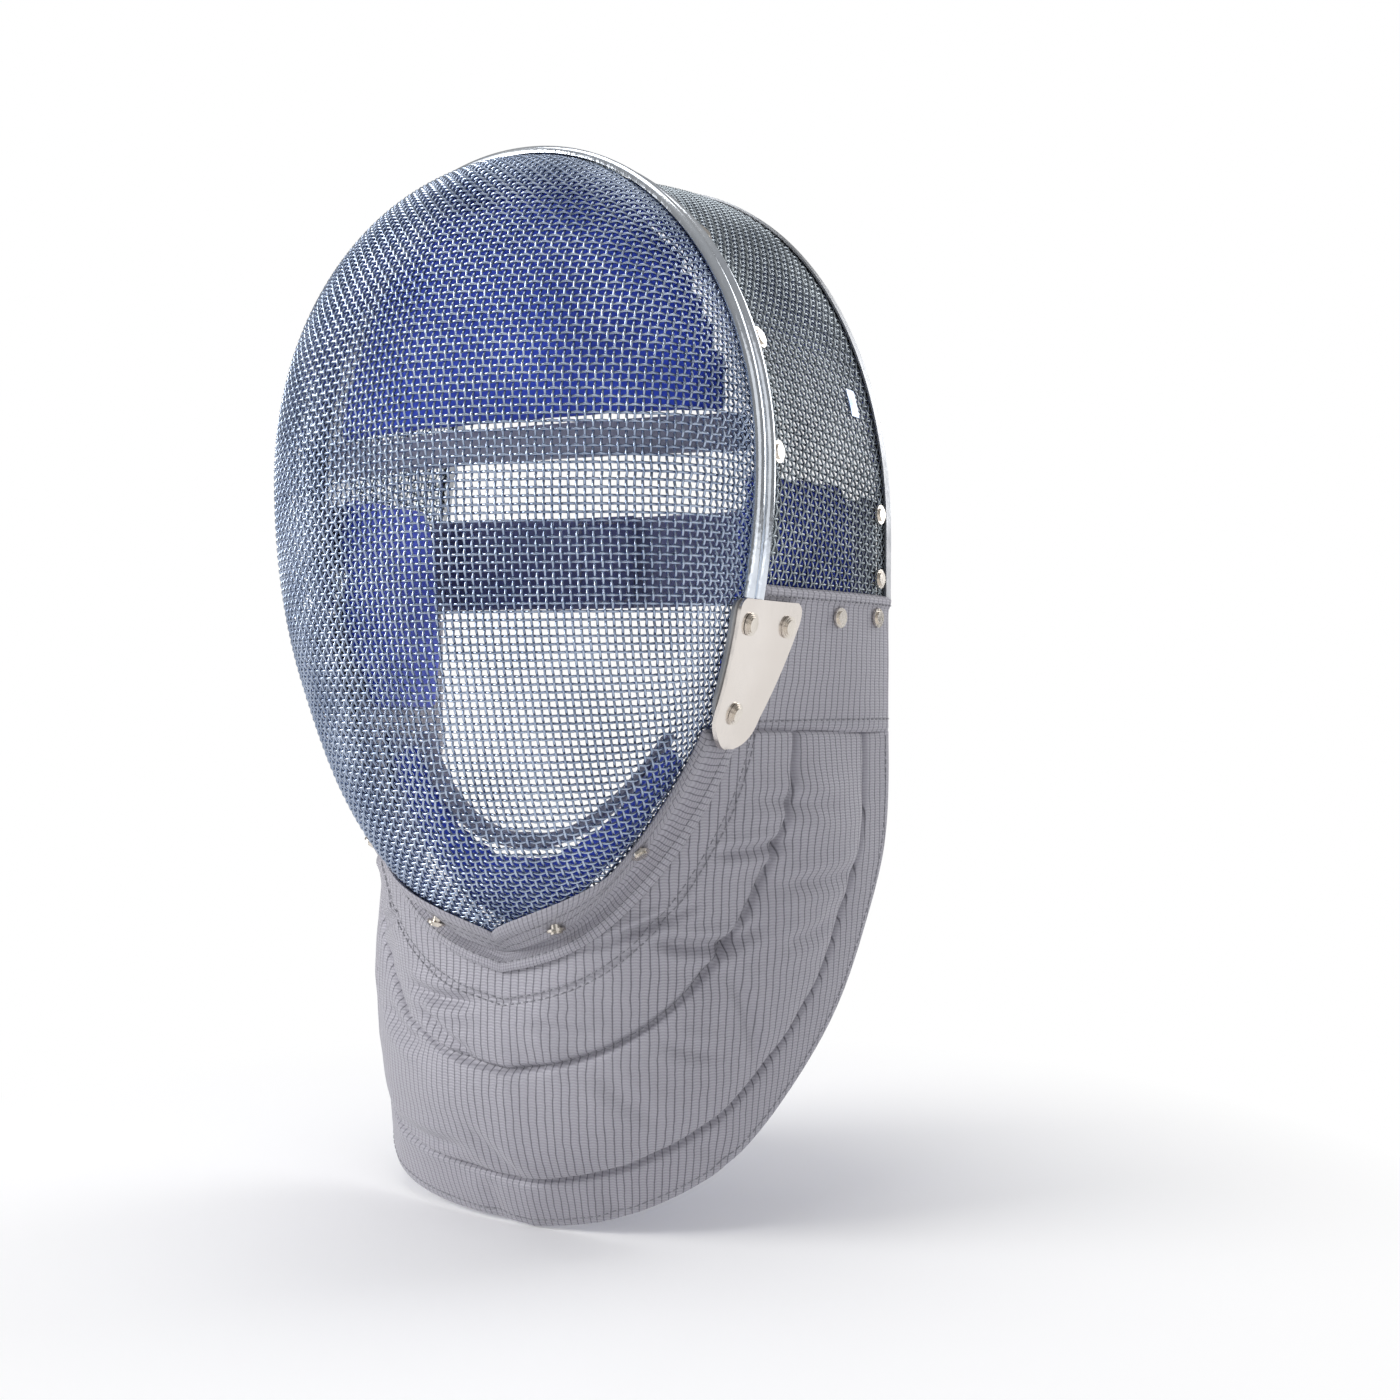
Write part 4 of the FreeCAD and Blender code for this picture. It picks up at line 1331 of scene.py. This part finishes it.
@dataclass
class JawBinding:
    """Tape over the jaw edge, piped along both folds."""

    low: float = 0.45
    high: float = 1.9
    bead: float = 0.8
    reach: float = 11.0
    fold: float = 0.62
    end_z: float = -80.0
    first_angle: float = -74.0
    under: float = 0.09
    columns: int = 221
    rows: int = 29
    seams: Tuple[int, ...] = (6, 11, 24)

    def on_mesh(self, w: float, k: float, grow: float) -> Vector:
        """Tape over the mesh, k across from its front edge to the rim."""
        s = SHAPE
        end = s.level(self.end_z)
        phi_r = mix(-math.pi / 2.0, end, w)
        phi_a = mix(math.radians(self.first_angle), end, w)
        x_r, x_a = s.rim(phi_r).x, s.rim(phi_a).x
        near = min(0.9, self.reach / max(1.0, s.depth_at(math.sin(phi_a))))
        level = (1.0 - near ** s.section_front) ** (1.0 / s.section_across)
        ratio_a = mix(0.90 * x_r / x_a, level, smooth(w / 0.45))
        phi = mix(phi_a, phi_r, k)
        ratio = min(1.0, mix(ratio_a * x_a, x_r, k) / max(0.001, s.rim(phi).x))
        middle = w < 1e-6
        th = 0.0 if middle else math.asin(ratio ** (s.section_across / 2.0)) * 2.0 / math.pi
        p = s.visor(phi, th, -grow)
        if middle:
            p.x = 0.0
        return p

    def on_bib(self, w: float, k: float, grow: float) -> Vector:
        """Tape over the bib's upper edge, k across from the rim."""
        s = SHAPE
        phi = mix(-math.pi / 2.0, s.level(self.end_z), w)
        rim = s.rim(phi)
        u = 0.5 + BIB.top.share_of(rim) / 2.0
        below = self.under * k
        out = s.rim(phi, 1.0) - rim
        out.y = 0.0
        turn = min(1.0, 1.5 * k)
        n = (out * (1.0 - turn) + BIB.normal(u, below) * turn).normalized()
        p = BIB.base(u, below)
        p.y -= s.bib_gap * (1.0 - k)
        return p + n * (grow + 0.3 * k + Bib.upper_puff * Bib.swell(below / Bib.seam_a))

    def point(self, u: float, v: float, grow: float) -> Vector:
        """Tape surface over the jaw edge.

        Args:
            u: Share along the jaw from the wearer's right.
            v: Share across, from the mesh to the bib.
            grow: Distance out of the mesh.

        Returns:
            The point in millimetres.
        """
        side = 2.0 * u - 1.0
        if v <= self.fold:
            p = self.on_mesh(abs(side), v / self.fold, grow)
        else:
            p = self.on_bib(abs(side), (v - self.fold) / (1.0 - self.fold), grow)
        if side < 0:
            p.x = -p.x
        return p

    def over(self, u: float, v: float) -> Vector:
        """Outside of the tape."""
        bead = math.exp(-((v - 0.10) / 0.07) ** 2) + math.exp(-((v - 0.52) / 0.07) ** 2)
        ripple = 0.22 * noise.noise(Vector((u * 60.0, v * 6.0, 0.0)))
        return self.point(u, v, self.high + self.bead * bead + ripple)

    def build(self, fx: Effects, stitches: StitchTree) -> None:
        """Makes the tape and its rows of stitches.

        Args:
            fx: Shared shader groups.
            stitches: Stitch geometry tree.
        """
        out = sample(self.over, self.columns, self.rows)
        ins = sample(lambda u, v: self.point(u, v, self.low), self.columns, self.rows)
        rounded(out, ins)
        obj = grid_shell("jaw_tape", out, ins, lambda p, u, v: (u * 0.40, v * 0.028))
        Cloths.RIBBED.on(obj, fx)
        keep(obj, SHELL, "conductive_fabric", "jaw_binding")
        rows = [[out[i][j].copy() for i in range(3, self.columns - 3)] for j in self.seams]
        stitches.sew("jaw_stitches", rows, fx)


@dataclass
class Pads:
    """Padding inside the shell, swollen by a cloth simulation."""

    thick: float = 9.0
    inset: float = 1.3
    cap: float = 1.6
    voxel: float = 0.0045
    pressure: float = 4.0
    frames: int = 20
    from_rim: float = 6.6
    from_side: float = 3.9
    brow_bow: float = 14.0
    pad_heights: Tuple[float, float] = (31.0, 124.0)
    trim_heights: Tuple[float, float] = (20.5, 34.5)

    def brow(self, u: float, v: float, back: float, heights: Tuple[float, float]) -> Vector:
        """Surface behind the brow between two heights."""
        s = SHAPE
        side = 2.0 * u - 1.0
        z = mix(*heights, v)
        x = side * (s.rim(s.level(max(z, s.wide_z + 1.0))).x - self.from_rim)
        bow = self.brow_bow * (1.0 - side * side) * (1.0 - 0.35 * v)
        return Vector((x, s.rim_y - 1.5 - bow + back, z))

    def forehead(self, u: float, v: float, back: float) -> Vector:
        """Surface of the pad behind the brow."""
        return self.brow(u, v, back, self.pad_heights)

    def trim(self, u: float, v: float, back: float) -> Vector:
        """Surface of the tape under the brow pad."""
        return self.brow(u, v, back, self.trim_heights)

    def crown(self, u: float, v: float, back: float) -> Vector:
        """Surface of the pad over the head."""
        s = SHAPE
        return s.side(mix(-0.62, 0.62, u), mix(s.rim_y + 8.5, s.rear_y - 6.5, v), -self.from_side - back)

    def cheek(self, u: float, v: float, back: float) -> Vector:
        """Surface of the pad at the wearer's left cheek."""
        s = SHAPE
        z = mix(19.0, -78.0, v)
        y = mix(s.rim_y + 1.5, 34.0, u)
        y = (y + 10.0) * (1.0 - 0.25 * (2.0 * v - 1.0) ** 4) - 10.0
        return Vector((s.flank(z, y) - self.from_side - back, y, z))

    def chin(self, u: float, v: float, back: float) -> Vector:
        """Surface of the pad under the chin."""
        s = SHAPE
        side = 2.0 * u - 1.0
        w = abs(side)
        a = s.rim(mix(-math.pi / 2.0, s.level(-90.0), w), -self.from_rim)
        x = a.x * mix(1.0, 0.80, v)
        z = a.z + mix(0.0, mix(29.0, 3.0, w ** 1.5), v)
        return Vector((-x if side < 0 else x, a.y + 3.2 + 7.0 * v + back, z))

    def block(self, name: str, surface: Callable[[float, float, float], Vector], deep: float,
              right: bool = False) -> bpy.types.Object:
        """Closed starting form, a little inside the CAD solid.

        Args:
            name: Object name.
            surface: Point function with a depth.
            deep: Full depth.
            right: True for the wearer's right.

        Returns:
            The remeshed object.
        """
        m, e = self.inset, 0.02
        far = sample(lambda u, v: surface(mix(e, 1 - e, u), mix(e, 1 - e, v), m), 41, 21)
        near = sample(lambda u, v: surface(mix(e, 1 - e, u), mix(e, 1 - e, v), deep - m), 41, 21)
        if right:
            mirror(far, near)
        obj = grid_shell(name, far, near)
        mod = obj.modifiers.new("even", "REMESH")
        mod.mode = "VOXEL"
        mod.voxel_size = self.voxel
        return applied(obj)

    def swell(self, pads: Sequence[bpy.types.Object]) -> None:
        """Blows the forms up together, then limits how far each point went.

        Args:
            pads: Remeshed forms.
        """
        starts = []
        for obj in pads:
            starts.append(coordinates(obj))
            cloth = obj.modifiers.new("cloth", "CLOTH")
            cloth.settings.use_pressure = True
            cloth.settings.uniform_pressure_force = self.pressure
            cloth.settings.effector_weights.gravity = 0.0
            cloth.settings.quality = 5
            cloth.point_cache.frame_end = self.frames
        scene = bpy.context.scene
        for f in range(1, self.frames + 1):
            scene.frame_set(f)
        for obj, start in zip(pads, starts):
            move = coordinates(applied(obj)) - start
            size = np.linalg.norm(move, axis=1, keepdims=True)
            cap = self.cap * MM
            move *= cap * np.tanh(size / cap) / np.maximum(size, 1e-9)
            obj.data.vertices.foreach_set("co", (start + move).ravel())
        scene.frame_set(1)

    def build(self, fx: Effects) -> None:
        """Makes every pad and the tapes on two of them.

        Args:
            fx: Shared shader groups.
        """
        pads = [
            (self.block("forehead_cushion", self.forehead, self.thick), ("forehead_pad",)),
            (self.block("crown_cushion", self.crown, self.thick), ("crown_pad",)),
            (self.block("cheek_cushion_left", self.cheek, self.thick), ("cheek_pad_left",)),
            (self.block("cheek_cushion_right", self.cheek, self.thick, True), ("cheek_pad_right",)),
            (self.block("chin_cushion", self.chin, self.thick - 1.0), ("chin_pad",)),
        ]
        self.swell([obj for obj, _ in pads])
        for obj, nodes in pads:
            mod = obj.modifiers.new("soft", "SUBSURF")
            mod.levels = mod.render_levels = 1
            applied(obj)
            fix_normals(obj.data)
            shade_smooth(obj.data)
            Cloths.BLUE.on(obj, fx)
            keep(obj, SHELL, "blue_padding", *nodes)
        for name, fn, back, deep, node in (
                ("brow_tape", self.trim, -0.6, self.thick + 0.6, "forehead_trim"),
                ("chin_tape", lambda u, v, b: self.chin(u, mix(1.01, 1.22, v), b), -0.6, self.thick - 0.4,
                 "chin_trim")):
            out = sample(lambda u, v: fn(u, v, back), 121, 13)
            ins = sample(lambda u, v: fn(u, v, deep), 121, 13)
            rounded(out, ins)
            obj = grid_shell(name, out, ins, lambda p, u, v: (u * 0.25, v * 0.014))
            Cloths.TRIM.on(obj, fx)
            keep(obj, SHELL, "trim_tape", node)


@dataclass
class Straps:
    """Rear straps with their touch-and-close patches."""

    wide: float = 41.0
    thick: float = 2.6
    mid_z: float = -8.0
    pivot_x: float = 102.7
    pivot_y: float = 50.6
    bow: float = 12.0
    split: float = -60.0
    tab_end: float = -14.0
    patch_t: float = 1.4
    patch_in: float = 6.0
    seat: float = 0.3
    between: float = 0.4
    over_gap: float = 1.1

    def line(self, x: float, lift: float = 0.0) -> Vector:
        """Middle of the strap in plan."""
        return Vector((x, self.pivot_y + self.bow * (1.0 - (x / self.pivot_x) ** 2) + lift, self.mid_z))

    def over(self, x: float) -> float:
        """Lift of the closing strap over the tab."""
        return (self.thick + 2.0 * self.patch_t + self.over_gap) * smooth((self.pivot_x - x) / 80.0)

    def band(self, name: str, path: Sequence[Vector], wide: float, thick: float, finish: Cloths, fx: Effects,
             rib: float = 0.18) -> bpy.types.Object:
        """Flat strap along a plan path.

        Args:
            name: Object name.
            path: Middle line in millimetres.
            wide: Full width.
            thick: Full thickness.
            finish: Its finish.
            fx: Shared shader groups.
            rib: Height of the rolled selvedge.

        Returns:
            The strap.
        """
        curve = Curve3(path)
        length = float(curve.run[-1])
        nu = max(12, int(length / 1.6))

        def face(sign: float) -> PointFn:
            """One face of the strap."""
            def point(u: float, v: float) -> Vector:
                """Point on that face."""
                a, b = curve.at(u - 0.004), curve.at(u + 0.004)
                d = b - a
                n = Vector((-d.y, d.x, 0)).normalized()
                edge = abs(2.0 * v - 1.0)
                swell = rib * math.exp(-((edge - 0.93) / 0.05) ** 2)
                p = curve.at(u) + n * sign * (thick / 2.0 - rib + swell)
                p.z += mix(-0.5, 0.5, v) * wide
                return p
            return point
        out, ins = sample(face(-1.0), nu, 25), sample(face(1.0), nu, 25)
        rounded(out, ins)
        obj = grid_shell(name, out, ins, lambda p, u, v: (u * length * MM, p.z * MM))
        finish.on(obj, fx)
        return obj

    def box_stitch(self, name: str, x0: float, x1: float, lift: Callable[[float], float], body: str,
                   fx: Effects, stitches: StitchTree) -> None:
        """Box of stitches across a strap's front face."""
        h = self.wide / 2.0 - 3.0
        corners = [(x0, -h), (x1, -h), (x1, h), (x0, h), (x0, -h)]
        rows = []
        for (xa, za), (xb, zb) in zip(corners, corners[1:]):
            row = []
            for k in range(13):
                x = mix(xa, xb, k / 12.0)
                p = self.line(x, lift(x))
                row.append(Vector((p.x, p.y, self.mid_z + mix(za, zb, k / 12.0))))
            rows.append(row)
        stitches.sew(name, rows, fx, body, "strap_grey", length=0.0022, radius=0.00032)

    def patch(self, name: str, x0: float, x1: float, lift: float, body: str, node: str, fx: Effects) -> None:
        """Touch-and-close patch on a strap.

        Args:
            name: Piece name.
            x0: Where it starts across the head.
            x1: Where it ends.
            lift: Height over the straps' middle line.
            body: CAD body it rides on.
            node: CAD node it stands for.
            fx: Shared shader groups.
        """
        path = [self.line(mix(x0, x1, k / 8.0), lift) for k in range(9)]
        obj = self.band(name, path, self.wide - self.patch_in, self.patch_t, Cloths.HOOKS, fx, 0.02)
        keep(obj, body, "hook_and_loop", node)

    def build(self, fx: Effects, stitches: StitchTree) -> None:
        """Makes the straps.

        Args:
            fx: Shared shader groups.
            stitches: Stitch geometry tree.
        """
        s = SHAPE
        half = self.thick / 2.0
        flank = [Vector((s.flank(self.mid_z, y) - 3.6 - half, y, self.mid_z))
                 for y in (36.0, 41.0, 46.0, 51.0)]
        anchor = self.band("anchor_strap", flank, self.wide, self.thick, Cloths.STRAP, fx)
        keep(anchor, SHELL, "strap_grey", "strap_anchor")
        path = [Vector((-p.x, p.y, p.z)) for p in flank[:3]]
        path.append(Vector((-(flank[3].x - 1.4), 50.4, self.mid_z)))
        path += [self.line(mix(-98.0, self.tab_end, k / 10.0)) for k in range(11)]
        tab = self.band("tab_strap", path, self.wide, self.thick, Cloths.ELASTIC, fx)
        keep(tab, SHELL, "elastic_dark", "strap_tab")
        path = [self.line(mix(self.pivot_x, self.split, k / 16.0)) for k in range(17)]
        for p in path:
            p.y += self.over(p.x)
        closing = self.band("closing_strap_cloth", path[::-1], self.wide, self.thick, Cloths.STRAP, fx)
        keep(closing, STRAP, "strap_grey", "rear_strap")
        lift = half + self.seat + self.patch_t / 2.0
        self.patch("loop_tape", -72.0, self.tab_end - 4.0, lift, SHELL, "loop_patch", fx)
        self.patch("hook_tape", self.split + 3.0, self.tab_end - 10.0, lift + self.patch_t + self.between,
                   STRAP, "hook_patch", fx)
        self.box_stitch("tab_stitches", -40.0, self.tab_end - 3.0, lambda x: -half, SHELL, fx, stitches)
        self.box_stitch("closing_stitches", self.split + 3.0, self.split + 14.0,
                        lambda x: self.over(x) + half, STRAP, fx, stitches)


@dataclass
class Hardware:
    """CAD nodes of metal that stay as they are, with their finishes."""

    finishes: Tuple[Tuple[str, Cloths], ...] = (
        ("rim_strip", Cloths.CHROME), ("rear_rim", Cloths.BAND), ("inner_rim_band", Cloths.BAND),
        ("side_plate_left", Cloths.PLATE), ("side_plate_right", Cloths.PLATE),
        ("backing_plate_left", Cloths.BAND), ("backing_plate_right", Cloths.BAND),
        ("side_plate_rivets_left", Cloths.RIVET), ("side_plate_rivets_right", Cloths.RIVET),
        ("rim_rivets", Cloths.RIVET), ("strap_rivets", Cloths.RIVET), ("tab_rivets", Cloths.RIVET),
        ("ear_rivets_left", Cloths.RIVET), ("ear_rivets_right", Cloths.RIVET), ("jaw_rivets", Cloths.RIVET),
        ("side_tag", Cloths.FOIL))

    def build(self, fx: Effects) -> None:
        """Dresses the nodes.

        Args:
            fx: Shared shader groups.
        """
        for name, finish in self.finishes:
            finish.on(frame["nodes"][name], fx)
            log.info("%s keeps its CAD shape", name)


@dataclass
class Studio:
    """Floor, light and camera."""

    floor_z: float = -0.276
    eye: Tuple[float, float, float] = (0.3622, -0.6133, -0.070)
    turn: float = 26.92
    lens: float = 44.39
    floor_half: float = 6.0
    aim: Tuple[float, float, float] = (0.0, 0.0, -0.05)
    lamps: Tuple[Tuple[str, Tuple[float, float, float], float, float], ...] = (
        ("key_lamp", (-1.6, -1.5, 0.9), 1.1, 37.0), ("fill_lamp", (1.6, -1.4, 0.4), 1.6, 5.0),
        ("top_lamp", (-0.1, -0.2, 1.9), 1.2, 11.0), ("rear_lamp", (0.9, 1.6, 0.7), 1.2, 14.0))

    def build(self) -> None:
        """Sets up the studio."""
        mesh = bpy.data.meshes.new("floor")
        r, z = self.floor_half, self.floor_z
        mesh.from_pydata([(-r, -r, z), (r, -r, z), (r, r, z), (-r, r, z)], [], [(0, 1, 2, 3)])
        floor = link("floor", mesh)
        mat = bpy.data.materials.new("floor_white")
        mat.use_nodes = True
        bsdf = mat.node_tree.nodes["Principled BSDF"]
        bsdf.inputs["Base Color"].default_value = (0.97, 0.97, 0.97, 1)
        bsdf.inputs["Roughness"].default_value = 0.9
        bsdf.inputs["Specular IOR Level"].default_value = 0.05
        t = Tree(mat.node_tree)
        far = t.add("ShaderNodeVectorMath", {0: t.place()}, operation="LENGTH")
        path = t.add("ShaderNodeLightPath")
        seen = t.math("MAXIMUM", path.outputs["Is Camera Ray"], path.outputs["Is Glossy Ray"])
        seen = t.math("MAXIMUM", seen, path.outputs["Is Transmission Ray"])
        bright = t.add("ShaderNodeEmission")
        white = t.math("MULTIPLY", t.ramp(far.outputs["Value"], 0.30, 0.46), seen)
        join = t.add("ShaderNodeMixShader", {0: white, 1: bsdf.outputs[0], 2: bright.outputs[0]})
        t.put(mat.node_tree.nodes["Material Output"].inputs[0], join.outputs[0])
        mesh.materials.append(mat)
        self.world()
        for lamp in self.lamps:
            self.lamp(*lamp)
        cam = bpy.data.cameras.new("camera")
        cam.lens = self.lens
        cam.sensor_width = 36.0
        cam.dof.use_dof = False
        obj = bpy.data.objects.new("camera", cam)
        bpy.context.scene.collection.objects.link(obj)
        a = math.radians(self.turn)
        obj.location = self.eye
        obj.rotation_euler = Vector((-math.sin(a), math.cos(a), 0.0)).to_track_quat("-Z", "Y").to_euler()
        bpy.context.scene.camera = obj
        bpy.context.scene.view_settings.view_transform = "Standard"

    def lamp(self, name: str, place: Tuple[float, float, float], size: float, power: float) -> None:
        """Area lamp turned to the object."""
        data = bpy.data.lights.new(name, "AREA")
        data.shape = "SQUARE"
        data.size = size
        data.energy = power
        obj = bpy.data.objects.new(name, data)
        bpy.context.scene.collection.objects.link(obj)
        obj.location = place
        aim = Vector(self.aim) - Vector(place)
        obj.rotation_euler = aim.to_track_quat("-Z", "Y").to_euler()

    @staticmethod
    def world() -> None:
        """White backdrop for the camera and a graded room for reflections."""
        world = bpy.data.worlds.new("studio")
        bpy.context.scene.world = world
        world.use_nodes = True
        t = Tree(world.node_tree)
        back = world.node_tree.nodes["Background"]
        path = t.add("ShaderNodeLightPath")
        sep = t.parts(t.add("ShaderNodeTexCoord").outputs["Generated"])
        strip = t.math("ABSOLUTE", t.math("ADD", sep[0], 0.78))
        strip = t.math("MULTIPLY", t.ramp(strip, 0.10, 0.32, 1.0, 0.0), t.ramp(sep[1], -0.1, -0.5))
        glow = t.math("ADD", t.ramp(sep[2], -0.6, 1.0, 0.10, 0.40), t.math("MULTIPLY", strip, 1.6))
        seen = t.blend(path.outputs["Is Glossy Ray"], (0.38, 0.38, 0.40, 1), glow)
        clear = t.math("MAXIMUM", path.outputs["Is Camera Ray"], path.outputs["Is Transmission Ray"])
        t.put(back.inputs["Color"], t.blend(clear, seen, (1, 1, 1, 1)))
        back.inputs["Strength"].default_value = 1.0


def main() -> None:
    """Builds the looks piece by piece."""
    logging.basicConfig(level=logging.INFO, format="%(name)s: %(message)s")
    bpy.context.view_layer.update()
    fx = Effects()
    wires = WireTree()
    stitches = StitchTree()
    FrontMesh().build(wires, fx)
    SideMesh().build(wires, fx)
    Bib().build(fx, stitches)
    EarPanels().build(fx, stitches)
    JawBinding().build(fx, stitches)
    Pads().build(fx)
    Straps().build(fx, stitches)
    Hardware().build(fx)
    Studio().build()


if __name__ == "__main__":
    main()
